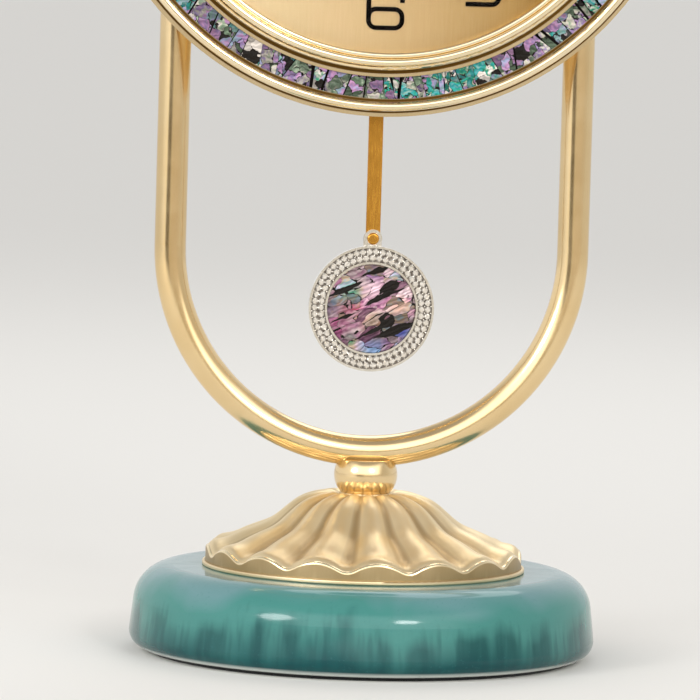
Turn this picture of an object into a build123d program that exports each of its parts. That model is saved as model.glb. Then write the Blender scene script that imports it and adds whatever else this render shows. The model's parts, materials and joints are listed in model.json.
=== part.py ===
from build123d import *
import math
import os

# Desk pendulum clock, in millimetres.
# The origin is the middle of the underside of the base, +Z is up and the dial faces -Y.

# Running and assembly clearances
slip = 0.1
running = 0.05

# Base, pad and stand bolt
base_diameter = 149.8
base_height = 26.3
base_taper = 3.0
base_shoulder = 12.0
base_foot_round = 5.0
base_wall = 9.0
base_roof = 7.0
pad_inset = 7.4
pad_thickness = 1.2
bolt_diameter = 6.0
bolt_head_width = 10.0
bolt_head_height = 4.0
bolt_engagement = 6.0
washer_diameter = 40.0
washer_thickness = 2.0

# Fluted dome
flute_count = 16
flute_turn = -101.3
dome_height = 24.2
dome_flange_diameter = 103.0
dome_flange_thickness = 1.4
dome_rim_diameter = 101.0
dome_crown_diameter = 25.0
dome_rim_crest = 6.9
dome_rim_valley = 4.1
dome_crown_depth = 0.9
dome_wall = 3.0
dome_step = 0.6
dome_roll = 1.0
dome_lip = 0.3
# share of its height that a ridge has lost at each eighth of the way from crown to rim
dome_fall = [0, 0.045, 0.15, 0.35, 0.555, 0.67, 0.78, 0.89, 1]
# share of the way across a flute, and share of its depth that it has risen there
flute_rise = [(0, 0), (0.2, 0.48), (0.5, 1), (0.8, 0.48), (1, 0)]
dome_boss_diameter = 14.0

# Neck bead
bead_diameter = 20.2
bead_foot_diameter = 15.6
bead_top_diameter = 17.0
bead_height = 10.6
saddle_depth = 2.4

# U frame
tube_diameter = 10.0
tube_wall = 1.0
bend_radius = 64.4
leg_length = 72.0
plug_length = 22.0
leg_screw_diameter = 4.0
leg_screw_length = 26.0
leg_screw_head = 7.5
leg_screw_head_height = 3.0
leg_block_width = 12.0
leg_block_reach = 6.5

# Case shell and back plate
case_radius = 95.8
shell_inset = 3.0
shell_wall = 1.5
shell_back = 12.0
seat_inner_radius = 68.0
back_ledge = 6.0
back_plate_thickness = 1.5
back_cutout_width = 62.0
back_cutout_round = 6.0
small_screw_diameter = 2.5
small_screw_head = 4.6
small_screw_head_height = 1.6
back_screw_count = 6
back_screw_start = 30.0
back_screw_length = 3.5
rod_slot_margin = 2.0
rod_slot_depth = 9.0

# Bezel, widths listed from the outside inwards
rim_width = 1.1
rim_height = 1.4
rim_gap = 0.8
bead_width = 2.8
step_width = 1.0
inlay_width = 6.9
lip_width = 0.9
groove_width = 1.3
thin_rim_width = 1.1
main_bead_width = 2.6
inner_bead_width = 1.7
bezel_floor = 2.8
inlay_thickness = 1.2
outer_bead_rise = 2.2
glass_bezel_foot = 1.2
bezel_screw_count = 8
bezel_screw_length = 5.0

# Dial, glass and numerals
dial_thickness = 0.8
glass_thickness = 2.0
glass_gap = 5.6
glass_overlap = 1.5
spacer_width = 1.2
numeral_margin = 7.0
numeral_height = 15.2
numeral_width = 12.0
numeral_bend = 2.4
numeral_stroke = 1.45
numeral_thickness = 0.5
pair_width = 6.6
pair_gap = 1.8
hand_time_hours = 10
hand_time_minutes = 9

# Hands
hand_thickness = 0.5
hand_gap = 0.5
hour_hand_length = 36.0
hour_hand_width = 3.4
minute_hand_length = 53.0
minute_hand_width = 2.8
second_hand_length = 54.0
second_hand_tail = 16.0
second_hand_width = 0.9
second_hand_thickness = 0.3

# Movement housing
movement_depth = 16.0
movement_half_width = 28.0
bay_floor = 24.0
housing_wall = 1.2
housing_split = 8.0
rubber_thickness = 0.6
bush_diameter = 8.0
bush_length = 3.5
nut_width = 12.0
nut_thickness = 1.5
dial_washer_thickness = 0.4
cell_diameter = 14.2
cell_length = 50.0
cell_nub_radius = 2.7
cell_nub_length = 1.6
cell_edge = 0.5
contact_half = 3.0

# Gear train
pinion_share = 0.36
tip_share = 0.16
root_share = 0.46
addendum = 0.75
dedendum = 1.15
wheel_thickness = 0.8
pinion_extra = 0.1
motion_distance = 10.0
train_distance = 10.8
second_distance = 11.2
cannon_teeth = 12
minute_wheel_teeth = 36
minute_pinion_teeth = 10
hour_wheel_teeth = 40
setting_teeth = 12
centre_teeth = 64
third_pinion_teeth = 8
third_teeth = 60
second_pinion_teeth = 8
second_teeth = 60
link_pinion_teeth = 10
link_teeth = 40
rotor_teeth = 8
arbor_radius = 0.6
second_arbor_radius = 0.5
minute_pipe_radius = 1.5
hour_pipe_radius = 2.4
pivot_depth = 0.6
minute_wheel_angle = 210.0
setting_angle = 210.0
third_angle = 90.0
link_angle = -30.0
rotor_angle = -60.0
hour_layer = 1.5
minute_layer = 2.9
centre_layer = 4.4
third_layer = 6.2
second_layer = 7.8
link_layer = 9.4
rotor_layer = 10.8
rotor_radius = 2.5
rotor_length = 2.0
rotor_gap = 0.5
stator_thickness = 1.0
stator_width = 18.0
stator_bar = 8.0
stator_core = 3.0
coil_half = 2.6
coil_length = 10.0
board_width = 17.0
board_height = 12.0
board_thickness = 1.0
knob_radius = 5.0
knob_length = 4.0
knob_gap = 1.5
knob_arbor_radius = 1.0

# Pendulum
pivot_drop = 12.0
pivot_radius = 1.0
hanger_plane_gap = 2.7
hanger_thickness = 1.6
hanger_width = 5.0
hanger_hub_radius = 3.0
hanger_length = 34.0
clip_radius = 2.2
clip_thickness = 0.6
magnet_radius = 4.0
magnet_thickness = 1.6
magnet_drop = 12.0
drive_coil_radius = 5.5
drive_coil_length = 4.0
stud_radius = 1.2
rod_width = 4.6
rod_thickness = 0.8
rivet_radius = 1.9
rivet_rise = 1.0
lug_radius = 2.9
lug_thickness = 0.8
bob_diameter = 40.0
bob_drop = 157.5
bob_rim_width = 5.8
bob_lip = 0.7
bob_rim_depth = 2.8
bob_channel_depth = 1.0
bob_back_thickness = 0.8
bob_inlay_thickness = 1.7
crystal_radius = 0.98
crystal_height = 1.2
crystal_spacing = 2.1
swing_angle = 8.0

# Levels and places that follow from the sizes above
base_top = pad_thickness + base_height
dome_top = base_top + dome_height
tube_radius = tube_diameter / 2
bend_bottom = dome_top + bead_height - saddle_depth + tube_radius
bend_centre = bend_bottom + bend_radius
shell_radius = case_radius - shell_inset
leg_meet = math.sqrt(shell_radius ** 2 - bend_radius ** 2)
case_centre = bend_centre + leg_length + leg_meet

# Levels along Y, from the plane of the frame forwards
movement_back = -hanger_plane_gap - hanger_thickness / 2
movement_front = movement_back - movement_depth
dial_back = movement_front - rubber_thickness
dial_front = dial_back - dial_thickness
hand_start = dial_front - dial_washer_thickness - nut_thickness - 2 * hand_gap
glass_back = dial_front - glass_gap
glass_front = glass_back - glass_thickness
bezel_front = dial_back - bezel_floor

# Radii of the bezel, from the outside inwards
bead_outer = case_radius - rim_width - rim_gap
inlay_outer = bead_outer - bead_width - step_width
inlay_inner = inlay_outer - inlay_width
groove_outer = inlay_inner - lip_width
thin_rim_outer = groove_outer - groove_width
main_bead_outer = thin_rim_outer - thin_rim_width
inner_bead_outer = main_bead_outer - main_bead_width
window_radius = inner_bead_outer - inner_bead_width
glass_radius = window_radius + glass_overlap
numeral_radius = window_radius - numeral_margin - numeral_height / 2
dial_radius = thin_rim_outer - 1.0
bezel_bore = dial_radius + 0.3
bezel_screw_ring = (bezel_bore + inlay_inner) / 2

# Modules of the gears, from the distances between the arbors
motion_module = 2 * motion_distance / (cannon_teeth + minute_wheel_teeth)
hour_module = 2 * motion_distance / (minute_pinion_teeth + hour_wheel_teeth)
centre_module = 2 * train_distance / (third_pinion_teeth + centre_teeth)
third_module = 2 * train_distance / (second_pinion_teeth + third_teeth)
second_module = 2 * second_distance / (link_pinion_teeth + second_teeth)
link_module = second_module
link_distance = link_module * (rotor_teeth + link_teeth) / 2
setting_distance = motion_module * (setting_teeth + minute_wheel_teeth) / 2

pivot_height = case_centre - pivot_drop
bob_centre = case_centre - bob_drop
rivet_height = bob_centre + bob_diameter / 2 + lug_radius - 0.6
hook_height = pivot_height - hanger_length
hanger_front = -hanger_thickness / 2
rod_front = hanger_front - rod_thickness
bay_roof = bay_floor + cell_diameter + 2 * slip + housing_wall
housing_top = bay_roof + housing_wall


def polar(distance, angle):
    turn = math.radians(angle)
    return distance * math.cos(turn), distance * math.sin(turn)


minute_wheel_place = polar(motion_distance, minute_wheel_angle)
third_place = polar(train_distance, third_angle)
link_place = polar(second_distance, link_angle)
setting_step = polar(setting_distance, setting_angle)
setting_place = (minute_wheel_place[0] + setting_step[0], minute_wheel_place[1] + setting_step[1])
rotor_step = polar(link_distance, rotor_angle)
rotor_place = (link_place[0] + rotor_step[0], link_place[1] + rotor_step[1])
drive_coil_place = (0, -pivot_drop - magnet_drop)
movement_below = pivot_drop + magnet_drop + drive_coil_radius + housing_wall + 0.5


# Shared shapes

def turned_z(section):
    return revolve(Plane.XZ * section, Axis.Z)


def turned_y(section):
    return Pos(0, 0, case_centre) * revolve(section, Axis.Y)


def box_section(inner, outer, low, high):
    return Pos((inner + outer) / 2, (low + high) / 2) * Rectangle(outer - inner, high - low)


def ring_y(outer, inner, front, back):
    return turned_y(box_section(inner, outer, front, back))


def pin_y(radius, front, back, place=(0, 0)):
    pin = extrude(Plane.XZ * Circle(radius), back - front)
    return Pos(place[0], back, case_centre + place[1]) * pin


def plate_y(face, front, back):
    plate = extrude(Plane.XZ * face, back - front)
    return Pos(0, back, case_centre) * plate


def block(low, high):
    size = [b - a for a, b in zip(low, high)]
    middle = [(a + b) / 2 for a, b in zip(low, high)]
    return Pos(*middle) * Box(*size)


def depth(distance):
    return movement_front + distance


def around_y(shape, count, start=0.0):
    copies = [shape.rotate(Axis((0, 0, case_centre), (0, 1, 0)), start + 360 * k / count)
              for k in range(count)]
    return Compound(children=copies)


# Stand

def make_pad():
    return Pos(0, 0, pad_thickness / 2) * Cylinder(base_diameter / 2 - pad_inset, pad_thickness)


def make_base():
    radius = base_diameter / 2
    outline = Polygon((0, pad_thickness), (radius, pad_thickness), (radius - base_taper, base_top),
                      (0, base_top), align=None)
    corners = outline.vertices().sort_by(Axis.X)[-2:].sort_by(Axis.Y)
    outline = fillet(corners[0], base_foot_round)
    shoulder = outline.vertices().sort_by_distance((radius - base_taper, base_top))[0]
    outline = fillet(shoulder, base_shoulder)
    cavity_radius = radius - base_taper - base_wall
    cavity = box_section(0, cavity_radius, pad_thickness, base_top - base_roof)
    hole = box_section(0, bolt_diameter / 2 + 3 * slip, pad_thickness, base_top)
    return turned_z(outline - cavity - hole)


def make_washer():
    low = base_top - base_roof - washer_thickness
    return turned_z(box_section(bolt_diameter / 2 + slip, washer_diameter / 2, low, low + washer_thickness))


def make_bolt():
    seat = base_top - base_roof - washer_thickness
    head = extrude(RegularPolygon(bolt_head_width / 2, 6, major_radius=False), bolt_head_height)
    length = dome_top + bolt_engagement - seat
    shank = Pos(0, 0, length / 2) * Cylinder(bolt_diameter / 2, length)
    return Pos(0, 0, seat - bolt_head_height) * head + Pos(0, 0, seat) * shank


def flute_ring(radius, crest, valley):
    waves = []
    step = 360 / flute_count
    for k in range(flute_count):
        start = flute_turn + k * step
        points = [(*polar(radius, start + share * step), valley + rise * (crest - valley))
                  for share, rise in flute_rise]
        along = [(*polar(1, turn + 90), 0) for turn in (start, start + step)]
        waves.append(Spline(*points, tangents=along))
    return Wire(waves)


def dome_profile(share):
    crown = dome_crown_diameter / 2
    rim = dome_rim_diameter / 2 - dome_roll
    place = share * (len(dome_fall) - 1)
    last = min(int(place), len(dome_fall) - 2)
    fall = dome_fall[last] + (dome_fall[last + 1] - dome_fall[last]) * (place - last)
    start = dome_top + dome_lip
    crest = start - (start - base_top - dome_rim_crest) * fall
    grown = math.sin(math.pi / 2 * share)
    depth_here = dome_crown_depth + (dome_rim_crest - dome_rim_valley - dome_crown_depth) * grown
    return crown + (rim - crown) * share, crest, crest - depth_here


def dome_body():
    rim = dome_rim_diameter / 2
    seat = dome_top - dome_step
    top = flute_ring(bead_foot_diameter / 2 + 2 * dome_step, seat, seat)
    eighths = len(dome_fall) - 1
    rings = [top] + [flute_ring(*dome_profile(k / eighths)) for k in range(eighths + 1)]
    steps = [rings[-1]]
    for out, drop in ((0.5, 0.2), (0.85, 0.55), (1, 1)):
        crest = base_top + dome_rim_crest - drop * dome_roll
        valley = crest - dome_rim_crest + dome_rim_valley
        steps.append(flute_ring(rim - dome_roll + out * dome_roll, crest, valley))
    foot = base_top + dome_flange_thickness / 2
    steps.append(flute_ring(rim, foot, foot))
    faces = [Face(top), Face(steps[-1])]
    faces += Shell.make_loft(rings).faces()
    faces += Shell.make_loft(steps, ruled=True).faces()
    return Part(Solid(Shell(faces)).wrapped)


def make_dome():
    rim = dome_rim_diameter / 2
    flange = Pos(0, 0, base_top + dome_flange_thickness / 2) * Cylinder(
        dome_flange_diameter / 2, dome_flange_thickness)
    flange = fillet(flange.edges().filter_by(GeomType.CIRCLE), dome_flange_thickness / 3)
    cap_low = dome_top - 2 * dome_step
    cap = Pos(0, 0, (cap_low + dome_top) / 2) * Cylinder(bead_foot_diameter / 2 + dome_step, dome_top - cap_low)
    dome = flange + dome_body() + fillet(cap.edges().group_by(Axis.Z)[-1], dome_step / 2)
    boss = dome_boss_diameter / 2
    inner_rim = rim - dome_roll - dome_wall
    valleys = [dome_profile(share) for share in (0.9, 0.6, 0.3)]
    roof = [(radius - dome_wall, valley - dome_wall) for radius, crest, valley in valleys]
    roof.append((boss, roof[-1][1]))
    hollow = Polygon((boss, base_top), (inner_rim, base_top), (inner_rim, roof[0][1]), *roof, align=None)
    hole = Pos(0, 0, dome_top) * Cylinder(bolt_diameter / 2 + 3 * slip, 4 * dome_height)
    return dome - turned_z(hollow) - hole


def make_neck_bead():
    foot = bead_foot_diameter / 2
    top = bead_top_diameter / 2
    outline = Curve() + [
        Line((0, 0), (foot, 0)),
        ThreePointArc((foot, 0), (bead_diameter / 2, bead_height * 0.48), (top, bead_height)),
        Line((top, bead_height), (0, bead_height)),
        Line((0, bead_height), (0, 0)),
    ]
    bead = Pos(0, 0, dome_top) * turned_z(make_face(outline))
    bead = fillet(bead.edges().group_by(Axis.Z)[-1], 0.8)
    bore_top = dome_top + bolt_engagement + slip
    bore = Pos(0, 0, bore_top - dome_height / 2) * Cylinder(bolt_diameter / 2 + slip, dome_height)
    seat = Pos(0, 0, bend_centre) * Rot(90, 0, 0) * Torus(bend_radius, tube_radius)
    return bead - bore - seat


# U frame and its fixings

def frame_path():
    top = case_centre - leg_meet / 2
    left = Line((-bend_radius, 0, top), (-bend_radius, 0, bend_centre))
    bend = ThreePointArc((-bend_radius, 0, bend_centre), (0, 0, bend_bottom), (bend_radius, 0, bend_centre))
    right = Line((bend_radius, 0, bend_centre), (bend_radius, 0, top))
    return Curve() + [left, bend, right]


def shell_cylinder(radius):
    return Pos(0, 0, case_centre) * Rot(90, 0, 0) * Cylinder(radius, 20 * tube_diameter)


def make_frame():
    path = frame_path()
    start = Plane(origin=path @ 0, z_dir=path % 0)
    section = start * (Circle(tube_radius) - Circle(tube_radius - tube_wall))
    return sweep(section, path=path) - shell_cylinder(shell_radius)


def make_leg_plugs():
    top = case_centre - leg_meet + tube_diameter
    low = case_centre - leg_meet - plug_length
    plugs = []
    for side in (-1, 1):
        plug = Pos(side * bend_radius, 0, (low + top) / 2) * Cylinder(tube_radius - tube_wall - running, top - low)
        bore = Pos(side * bend_radius, 0, (low + top) / 2 + 4) * Cylinder(leg_screw_diameter / 2, top - low)
        plugs.append(plug - bore - shell_cylinder(shell_radius))
    return Compound(children=plugs)


def leg_block_top():
    inner = shell_radius - shell_wall
    outside = bend_radius + leg_block_reach
    return case_centre - math.sqrt(inner ** 2 - outside ** 2) + 2.0


def make_leg_blocks():
    inner = shell_radius - shell_wall
    blocks = []
    for side in (-1, 1):
        half = leg_block_width / 2
        low = (side * bend_radius - leg_block_reach, -half, case_centre - inner)
        high = (side * bend_radius + leg_block_reach, half, leg_block_top())
        wedge = block(low, high) & shell_cylinder(inner)
        hole = Pos(side * bend_radius, 0, case_centre - inner) * Cylinder(
            leg_screw_diameter / 2 + slip, 4 * inner)
        blocks.append(wedge - hole)
    return Compound(children=blocks)


def make_leg_screws():
    screws = []
    for side in (-1, 1):
        top = leg_block_top()
        shank = Pos(side * bend_radius, 0, top - leg_screw_length / 2) * Cylinder(
            leg_screw_diameter / 2 - running, leg_screw_length)
        head = Pos(side * bend_radius, 0, top + leg_screw_head_height / 2) * Cylinder(
            leg_screw_head / 2, leg_screw_head_height)
        screws.append(shank + head)
    return Compound(children=screws)


# Case

def swing_reach(level):
    return (pivot_height - level) * math.tan(math.radians(swing_angle)) + rod_width / 2


def make_shell():
    inner = shell_radius - shell_wall
    back = shell_back - back_plate_thickness
    section = box_section(inner, shell_radius, dial_back + shell_wall, shell_back)
    section += box_section(inner - back_ledge, inner, back - shell_wall, back)
    shell = turned_y(section)
    reach = swing_reach(case_centre - shell_radius) + rod_slot_margin
    slot_low = (-reach, rod_front - rod_slot_depth / 2, case_centre - 1.1 * shell_radius)
    slot_high = (reach, rod_front + rod_slot_depth / 2, case_centre - 0.9 * shell_radius)
    shell -= block(slot_low, slot_high)
    for side in (-1, 1):
        shell -= Pos(side * bend_radius, 0, case_centre - leg_meet) * Cylinder(
            leg_screw_diameter / 2 + slip, 4 * tube_diameter)
    shell -= around_y(back_screw_pin(small_screw_diameter / 2 + running), back_screw_count, back_screw_start)
    return shell


def make_case_front():
    ring = ring_y(shell_radius, seat_inner_radius, dial_back, dial_back + shell_wall)
    return ring - around_y(bezel_screw_hole(dial_back, dial_back + shell_wall), bezel_screw_count)


def bezel_screw_hole(front, back):
    return pin_y(small_screw_diameter / 2 + slip, front, back, (0, bezel_screw_ring))


def back_screw_pin(radius):
    ring = shell_radius - shell_wall - back_ledge / 2
    return pin_y(radius, shell_back - back_screw_length, shell_back, (0, ring))


def make_back_plate():
    inner = shell_radius - shell_wall - slip
    face = Circle(inner)
    low = -movement_below - 2
    high = housing_top + 2
    cutout = Pos(0, (low + high) / 2) * RectangleRounded(back_cutout_width, high - low, back_cutout_round)
    plate = plate_y(face - cutout, shell_back - back_plate_thickness, shell_back)
    holes = around_y(back_screw_pin(small_screw_diameter / 2 + slip), back_screw_count, back_screw_start)
    return plate - holes


def make_back_screws():
    ring = shell_radius - shell_wall - back_ledge / 2
    head = pin_y(small_screw_head / 2, shell_back, shell_back + small_screw_head_height, (0, ring))
    screw = back_screw_pin(small_screw_diameter / 2) + head
    return around_y(screw, back_screw_count, back_screw_start)


def make_bezel_screws():
    seat = dial_back + shell_wall
    place = (0, bezel_screw_ring)
    shank = pin_y(small_screw_diameter / 2, seat - bezel_screw_length, seat, place)
    head = pin_y(small_screw_head / 2, seat, seat + small_screw_head_height, place)
    return around_y(shank + head, bezel_screw_count)


def make_bezel():
    section = box_section(bezel_bore, case_radius - rim_width, bezel_front, dial_back)
    section += box_section(bezel_bore, case_radius, dial_back - rim_height, dial_back)
    bead_middle = bead_outer - bead_width / 2
    section += box_section(inlay_outer, bead_outer, bezel_front - inlay_thickness, bezel_front)
    bead_level = bezel_front - inlay_thickness - outer_bead_rise + bead_width / 2
    section += box_section(bead_outer - bead_width, bead_outer, bead_level, bezel_front)
    section += Pos(bead_middle, bead_level) * Circle(bead_width / 2)
    bezel = turned_y(section)
    return bezel - around_y(bezel_screw_hole(bezel_front, dial_back), bezel_screw_count)


def make_shell_ring():
    return ring_y(inlay_outer - running, inlay_inner + running, bezel_front - inlay_thickness, bezel_front)


def make_glass_bezel():
    top = glass_front - 0.4
    foot_top = bezel_front - glass_bezel_foot
    section = box_section(glass_radius + slip, inlay_inner, foot_top, bezel_front)
    section += box_section(groove_outer, inlay_inner, bezel_front - inlay_thickness - 1.0, bezel_front)
    rim_middle = thin_rim_outer - thin_rim_width / 2
    section += box_section(glass_radius + slip, thin_rim_outer, glass_back - 0.4, foot_top)
    section += Pos(rim_middle, glass_back - 0.4) * Circle(thin_rim_width / 2)
    section += box_section(glass_radius + slip, main_bead_outer, glass_front, glass_back)
    section += box_section(window_radius, main_bead_outer, top, glass_front)
    section += Pos(main_bead_outer - main_bead_width / 2, top) * Circle(main_bead_width / 2)
    section += Pos(inner_bead_outer - inner_bead_width / 2, top) * Circle(inner_bead_width / 2)
    section -= box_section(0, glass_radius + slip, glass_front, bezel_front)
    ring = turned_y(section)
    low = dial_back + shell_wall - bezel_screw_length - slip
    return ring - around_y(bezel_screw_hole(low, bezel_front), bezel_screw_count)


def make_glass():
    return pin_y(glass_radius, glass_front, glass_back)


def make_glass_spacer():
    return ring_y(glass_radius, glass_radius - spacer_width, glass_back, dial_front)


def make_dial():
    return ring_y(dial_radius, bush_diameter / 2 + slip, dial_front, dial_back)


def stroke(points, radius):
    closed = points[0] == points[-1]
    corners = points[:-1] if closed else points
    path = FilletPolyline(*corners, radius=radius, close=closed)
    return Sketch() + [trace(edge, numeral_stroke) for edge in path.edges()]


def straight_strokes(points):
    bars = [trace(Line(a, b), numeral_stroke) for a, b in zip(points, points[1:])]
    joints = [Pos(*point) * Circle(numeral_stroke / 2) for point in points[1:-1]]
    return Sketch() + bars + joints


def digit(figure, width):
    right = (width - numeral_stroke) / 2
    top = (numeral_height - numeral_stroke) / 2
    left = -right
    low = -top
    waist = -0.065 * numeral_height
    tip = 0.2 * numeral_height
    arm = 0.07 * numeral_height
    bend = min(numeral_bend, 0.35 * width)
    stem = (low + waist) / 2
    loop = [(left, low), (right, low), (right, top), (left, top), (left, low)]
    bowl = [(left, low), (right, low), (right, waist), (left, waist), (left, low)]
    crown = [(left, waist), (right, waist), (right, top), (left, top), (left, waist)]
    strokes = {
        "0": [loop],
        "1": [[(left * 0.5, tip), (0, top), (0, low)]],
        "2": [[(left, tip), (left, top), (right, top), (right, waist), (left, waist), (left, low), (right, low)]],
        "3": [[(left, tip), (left, top), (right, top), (right, waist), (left * 0.3, waist)],
              [(left * 0.3, waist), (right, waist), (right, low), (left, low), (left, -tip)]],
        "4": [[(right * 0.5, low), (right * 0.5, top), (left, -tip), (right, -tip)]],
        "5": [[(right, top), (left, top), (left, waist + 1), (right, waist + 1), (right, low), (left, low)]],
        "6": [[(right, arm), (right, top), (left, top), (left, stem)], bowl],
        "7": [[(left, top), (right, top), (left * 0.2, low)]],
        "8": [bowl, crown],
        "9": [crown, [(right, -stem), (right, low), (left, low), (left, -arm)]],
    }
    if figure in "147":
        return straight_strokes(strokes[figure][0])
    return Sketch() + [stroke(points, bend) for points in strokes[figure]]


def numeral(hour):
    figures = str(hour)
    if len(figures) == 1:
        return digit(figures, numeral_width)
    step = (pair_width + pair_gap) / 2
    return Pos(-step, 0) * digit(figures[0], pair_width) + Pos(step, 0) * digit(figures[1], pair_width)


def make_numerals():
    solids = []
    for hour in range(1, 13):
        across, up = polar(numeral_radius, 90 - 30 * hour)
        plate = plate_y(Pos(across, up) * numeral(hour), dial_front - numeral_thickness, dial_front)
        solids.extend(plate.solids())
    return Compound(children=solids)


# Movement

def hand_level(layer):
    return hand_start - layer * (hand_thickness + hand_gap)


def pointer(length, width, tail, bore):
    right = [(0.4 * width, -tail), (0.3 * width, 0), (width / 2, 0.72 * length), (0, length)]
    left = [(-across, up) for across, up in reversed(right[:-1])]
    return Polygon(*right, *left, align=None) + Circle(bore + 1.6) - Circle(bore)


def make_hand(length, width, tail, bore, layer, thickness, turn):
    back = hand_level(layer)
    face = pointer(length, width, tail, bore + running / 2)
    return plate_y(Rot(0, 0, -turn) * face, back - thickness, back)


def make_hour_hand():
    turn = 30 * (hand_time_hours + hand_time_minutes / 60)
    return make_hand(hour_hand_length, hour_hand_width, 5, hour_pipe_radius, 0, hand_thickness, turn)


def make_minute_hand():
    turn = 6 * hand_time_minutes
    return make_hand(minute_hand_length, minute_hand_width, 7, minute_pipe_radius, 1, hand_thickness, turn)


def make_second_hand():
    return make_hand(second_hand_length, second_hand_width, second_hand_tail, second_arbor_radius, 2,
                     second_hand_thickness, 0)


def gear_face(teeth, module, phase):
    pitch_radius = teeth * module / 2
    tip_radius = pitch_radius + addendum * module
    root_radius = pitch_radius - dedendum * module
    pitch = 2 * math.pi / teeth
    half_pitch = pinion_share * pitch / 2
    half_tip = tip_share * math.pi * module / 2 / tip_radius
    half_root = root_share * math.pi * module / 2 / root_radius
    flank = ((root_radius, -half_root), (pitch_radius, -half_pitch), (tip_radius, -half_tip),
             (tip_radius, half_tip), (pitch_radius, half_pitch), (root_radius, half_root))
    points = []
    for k in range(teeth):
        middle = math.radians(phase) + k * pitch
        points += [(r * math.cos(middle + a), r * math.sin(middle + a)) for r, a in flank]
    return Polygon(*points, align=None)


def mesh_phase(direction, phase, teeth, other_teeth):
    return direction + 180 - 180 / other_teeth - (phase - direction) * teeth / other_teeth


minute_wheel_phase = mesh_phase(minute_wheel_angle, 0, cannon_teeth, minute_wheel_teeth)
setting_phase = mesh_phase(setting_angle, minute_wheel_phase, minute_wheel_teeth, setting_teeth)
minute_pinion_phase = minute_wheel_phase
hour_phase = mesh_phase(minute_wheel_angle + 180, minute_pinion_phase, minute_pinion_teeth, hour_wheel_teeth)
third_pinion_phase = mesh_phase(third_angle, 0, centre_teeth, third_pinion_teeth)
second_pinion_phase = mesh_phase(third_angle + 180, 0, third_teeth, second_pinion_teeth)
link_pinion_phase = mesh_phase(link_angle, 0, second_teeth, link_pinion_teeth)
rotor_phase = mesh_phase(rotor_angle, 0, link_teeth, rotor_teeth)


def wheel(teeth, module, phase, layer, place=(0, 0)):
    face = Pos(*place) * gear_face(teeth, module, phase)
    return plate_y(face, depth(layer), depth(layer + wheel_thickness))


def pinion(teeth, module, phase, layer, place=(0, 0), reach=None):
    face = Pos(*place) * gear_face(teeth, module, phase)
    back = layer + wheel_thickness + pinion_extra if reach is None else reach
    return plate_y(face, depth(layer - pinion_extra), depth(back))


def arbor(place, radius=arbor_radius):
    front = depth(housing_wall - pivot_depth + running)
    back = movement_back - housing_wall + pivot_depth - running
    return pin_y(radius, front, back, place)


def pivot_holes(places, front):
    low, high = (depth(housing_wall - pivot_depth), depth(housing_wall))
    if not front:
        low, high = (movement_back - housing_wall, movement_back - housing_wall + pivot_depth)
    return [pin_y(radius + running, low, high, place) for place, radius in places]


def make_centre_wheel():
    pipe_front = hand_level(1) - hand_thickness
    body = wheel(centre_teeth, centre_module, 0, centre_layer)
    body += pinion(cannon_teeth, motion_module, 0, minute_layer, reach=centre_layer)
    body += pin_y(minute_pipe_radius, pipe_front, depth(centre_layer + wheel_thickness))
    bore = pin_y(second_arbor_radius + running, pipe_front, depth(centre_layer + wheel_thickness))
    return body - bore


def make_hour_wheel():
    pipe_front = hand_level(0) - hand_thickness
    body = wheel(hour_wheel_teeth, hour_module, hour_phase, hour_layer)
    body += pin_y(hour_pipe_radius, pipe_front, depth(hour_layer + wheel_thickness))
    return body - pin_y(minute_pipe_radius + running, pipe_front, depth(hour_layer + wheel_thickness))


def make_minute_wheel():
    place = minute_wheel_place
    body = wheel(minute_wheel_teeth, motion_module, minute_wheel_phase, minute_layer, place)
    body += pinion(minute_pinion_teeth, hour_module, minute_pinion_phase, hour_layer, place, minute_layer)
    bore = pin_y(arbor_radius + running, depth(0), depth(minute_layer + 2), place)
    return body - bore


def make_third_wheel():
    body = wheel(third_teeth, third_module, 0, third_layer, third_place)
    body += pinion(third_pinion_teeth, centre_module, third_pinion_phase, centre_layer, third_place, third_layer)
    return body + arbor(third_place)


def make_second_arbor():
    front = hand_level(2) - second_hand_thickness
    back = movement_back - housing_wall + pivot_depth - running
    body = wheel(second_teeth, second_module, 0, second_layer)
    body += pinion(second_pinion_teeth, third_module, second_pinion_phase, third_layer, reach=second_layer)
    return body + pin_y(second_arbor_radius, front, back)


def make_intermediate_wheel():
    body = wheel(link_teeth, link_module, 0, link_layer, link_place)
    body += pinion(link_pinion_teeth, second_module, link_pinion_phase, second_layer, link_place, link_layer)
    return body + arbor(link_place)


def make_rotor():
    body = pinion(rotor_teeth, link_module, rotor_phase, link_layer, rotor_place, rotor_layer)
    body += pin_y(rotor_radius, depth(rotor_layer), depth(rotor_layer + rotor_length), rotor_place)
    return body + arbor(rotor_place)


def make_setting_knob():
    knob_front = movement_back + knob_gap
    body = pinion(setting_teeth, motion_module, setting_phase, minute_layer, setting_place)
    body += pin_y(knob_arbor_radius, depth(minute_layer - pinion_extra), knob_front + knob_length, setting_place)
    knob = Circle(knob_radius) - PolarLocations(knob_radius, 18) * Circle(0.35)
    return body + plate_y(Pos(*setting_place) * knob, knob_front, knob_front + knob_length)


def housing_shell(front, back, wall_front):
    half = movement_half_width
    outer = (-half, front, case_centre - movement_below), (half, back, case_centre + housing_top)
    shell = block(*outer)
    wall = housing_wall
    low_y = front + wall if wall_front else front
    gear_back = back if wall_front else back - wall
    gear_room = block((-half + wall, low_y, case_centre - movement_below + wall),
                      (half - wall, gear_back, case_centre + bay_floor - wall))
    cell_room = block((-half + wall, low_y, case_centre + bay_floor),
                      (half - wall, back, case_centre + bay_roof))
    return shell - gear_room - cell_room


def all_pivots():
    third = (third_place, arbor_radius)
    return [third, (link_place, arbor_radius), (rotor_place, arbor_radius)]


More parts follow.
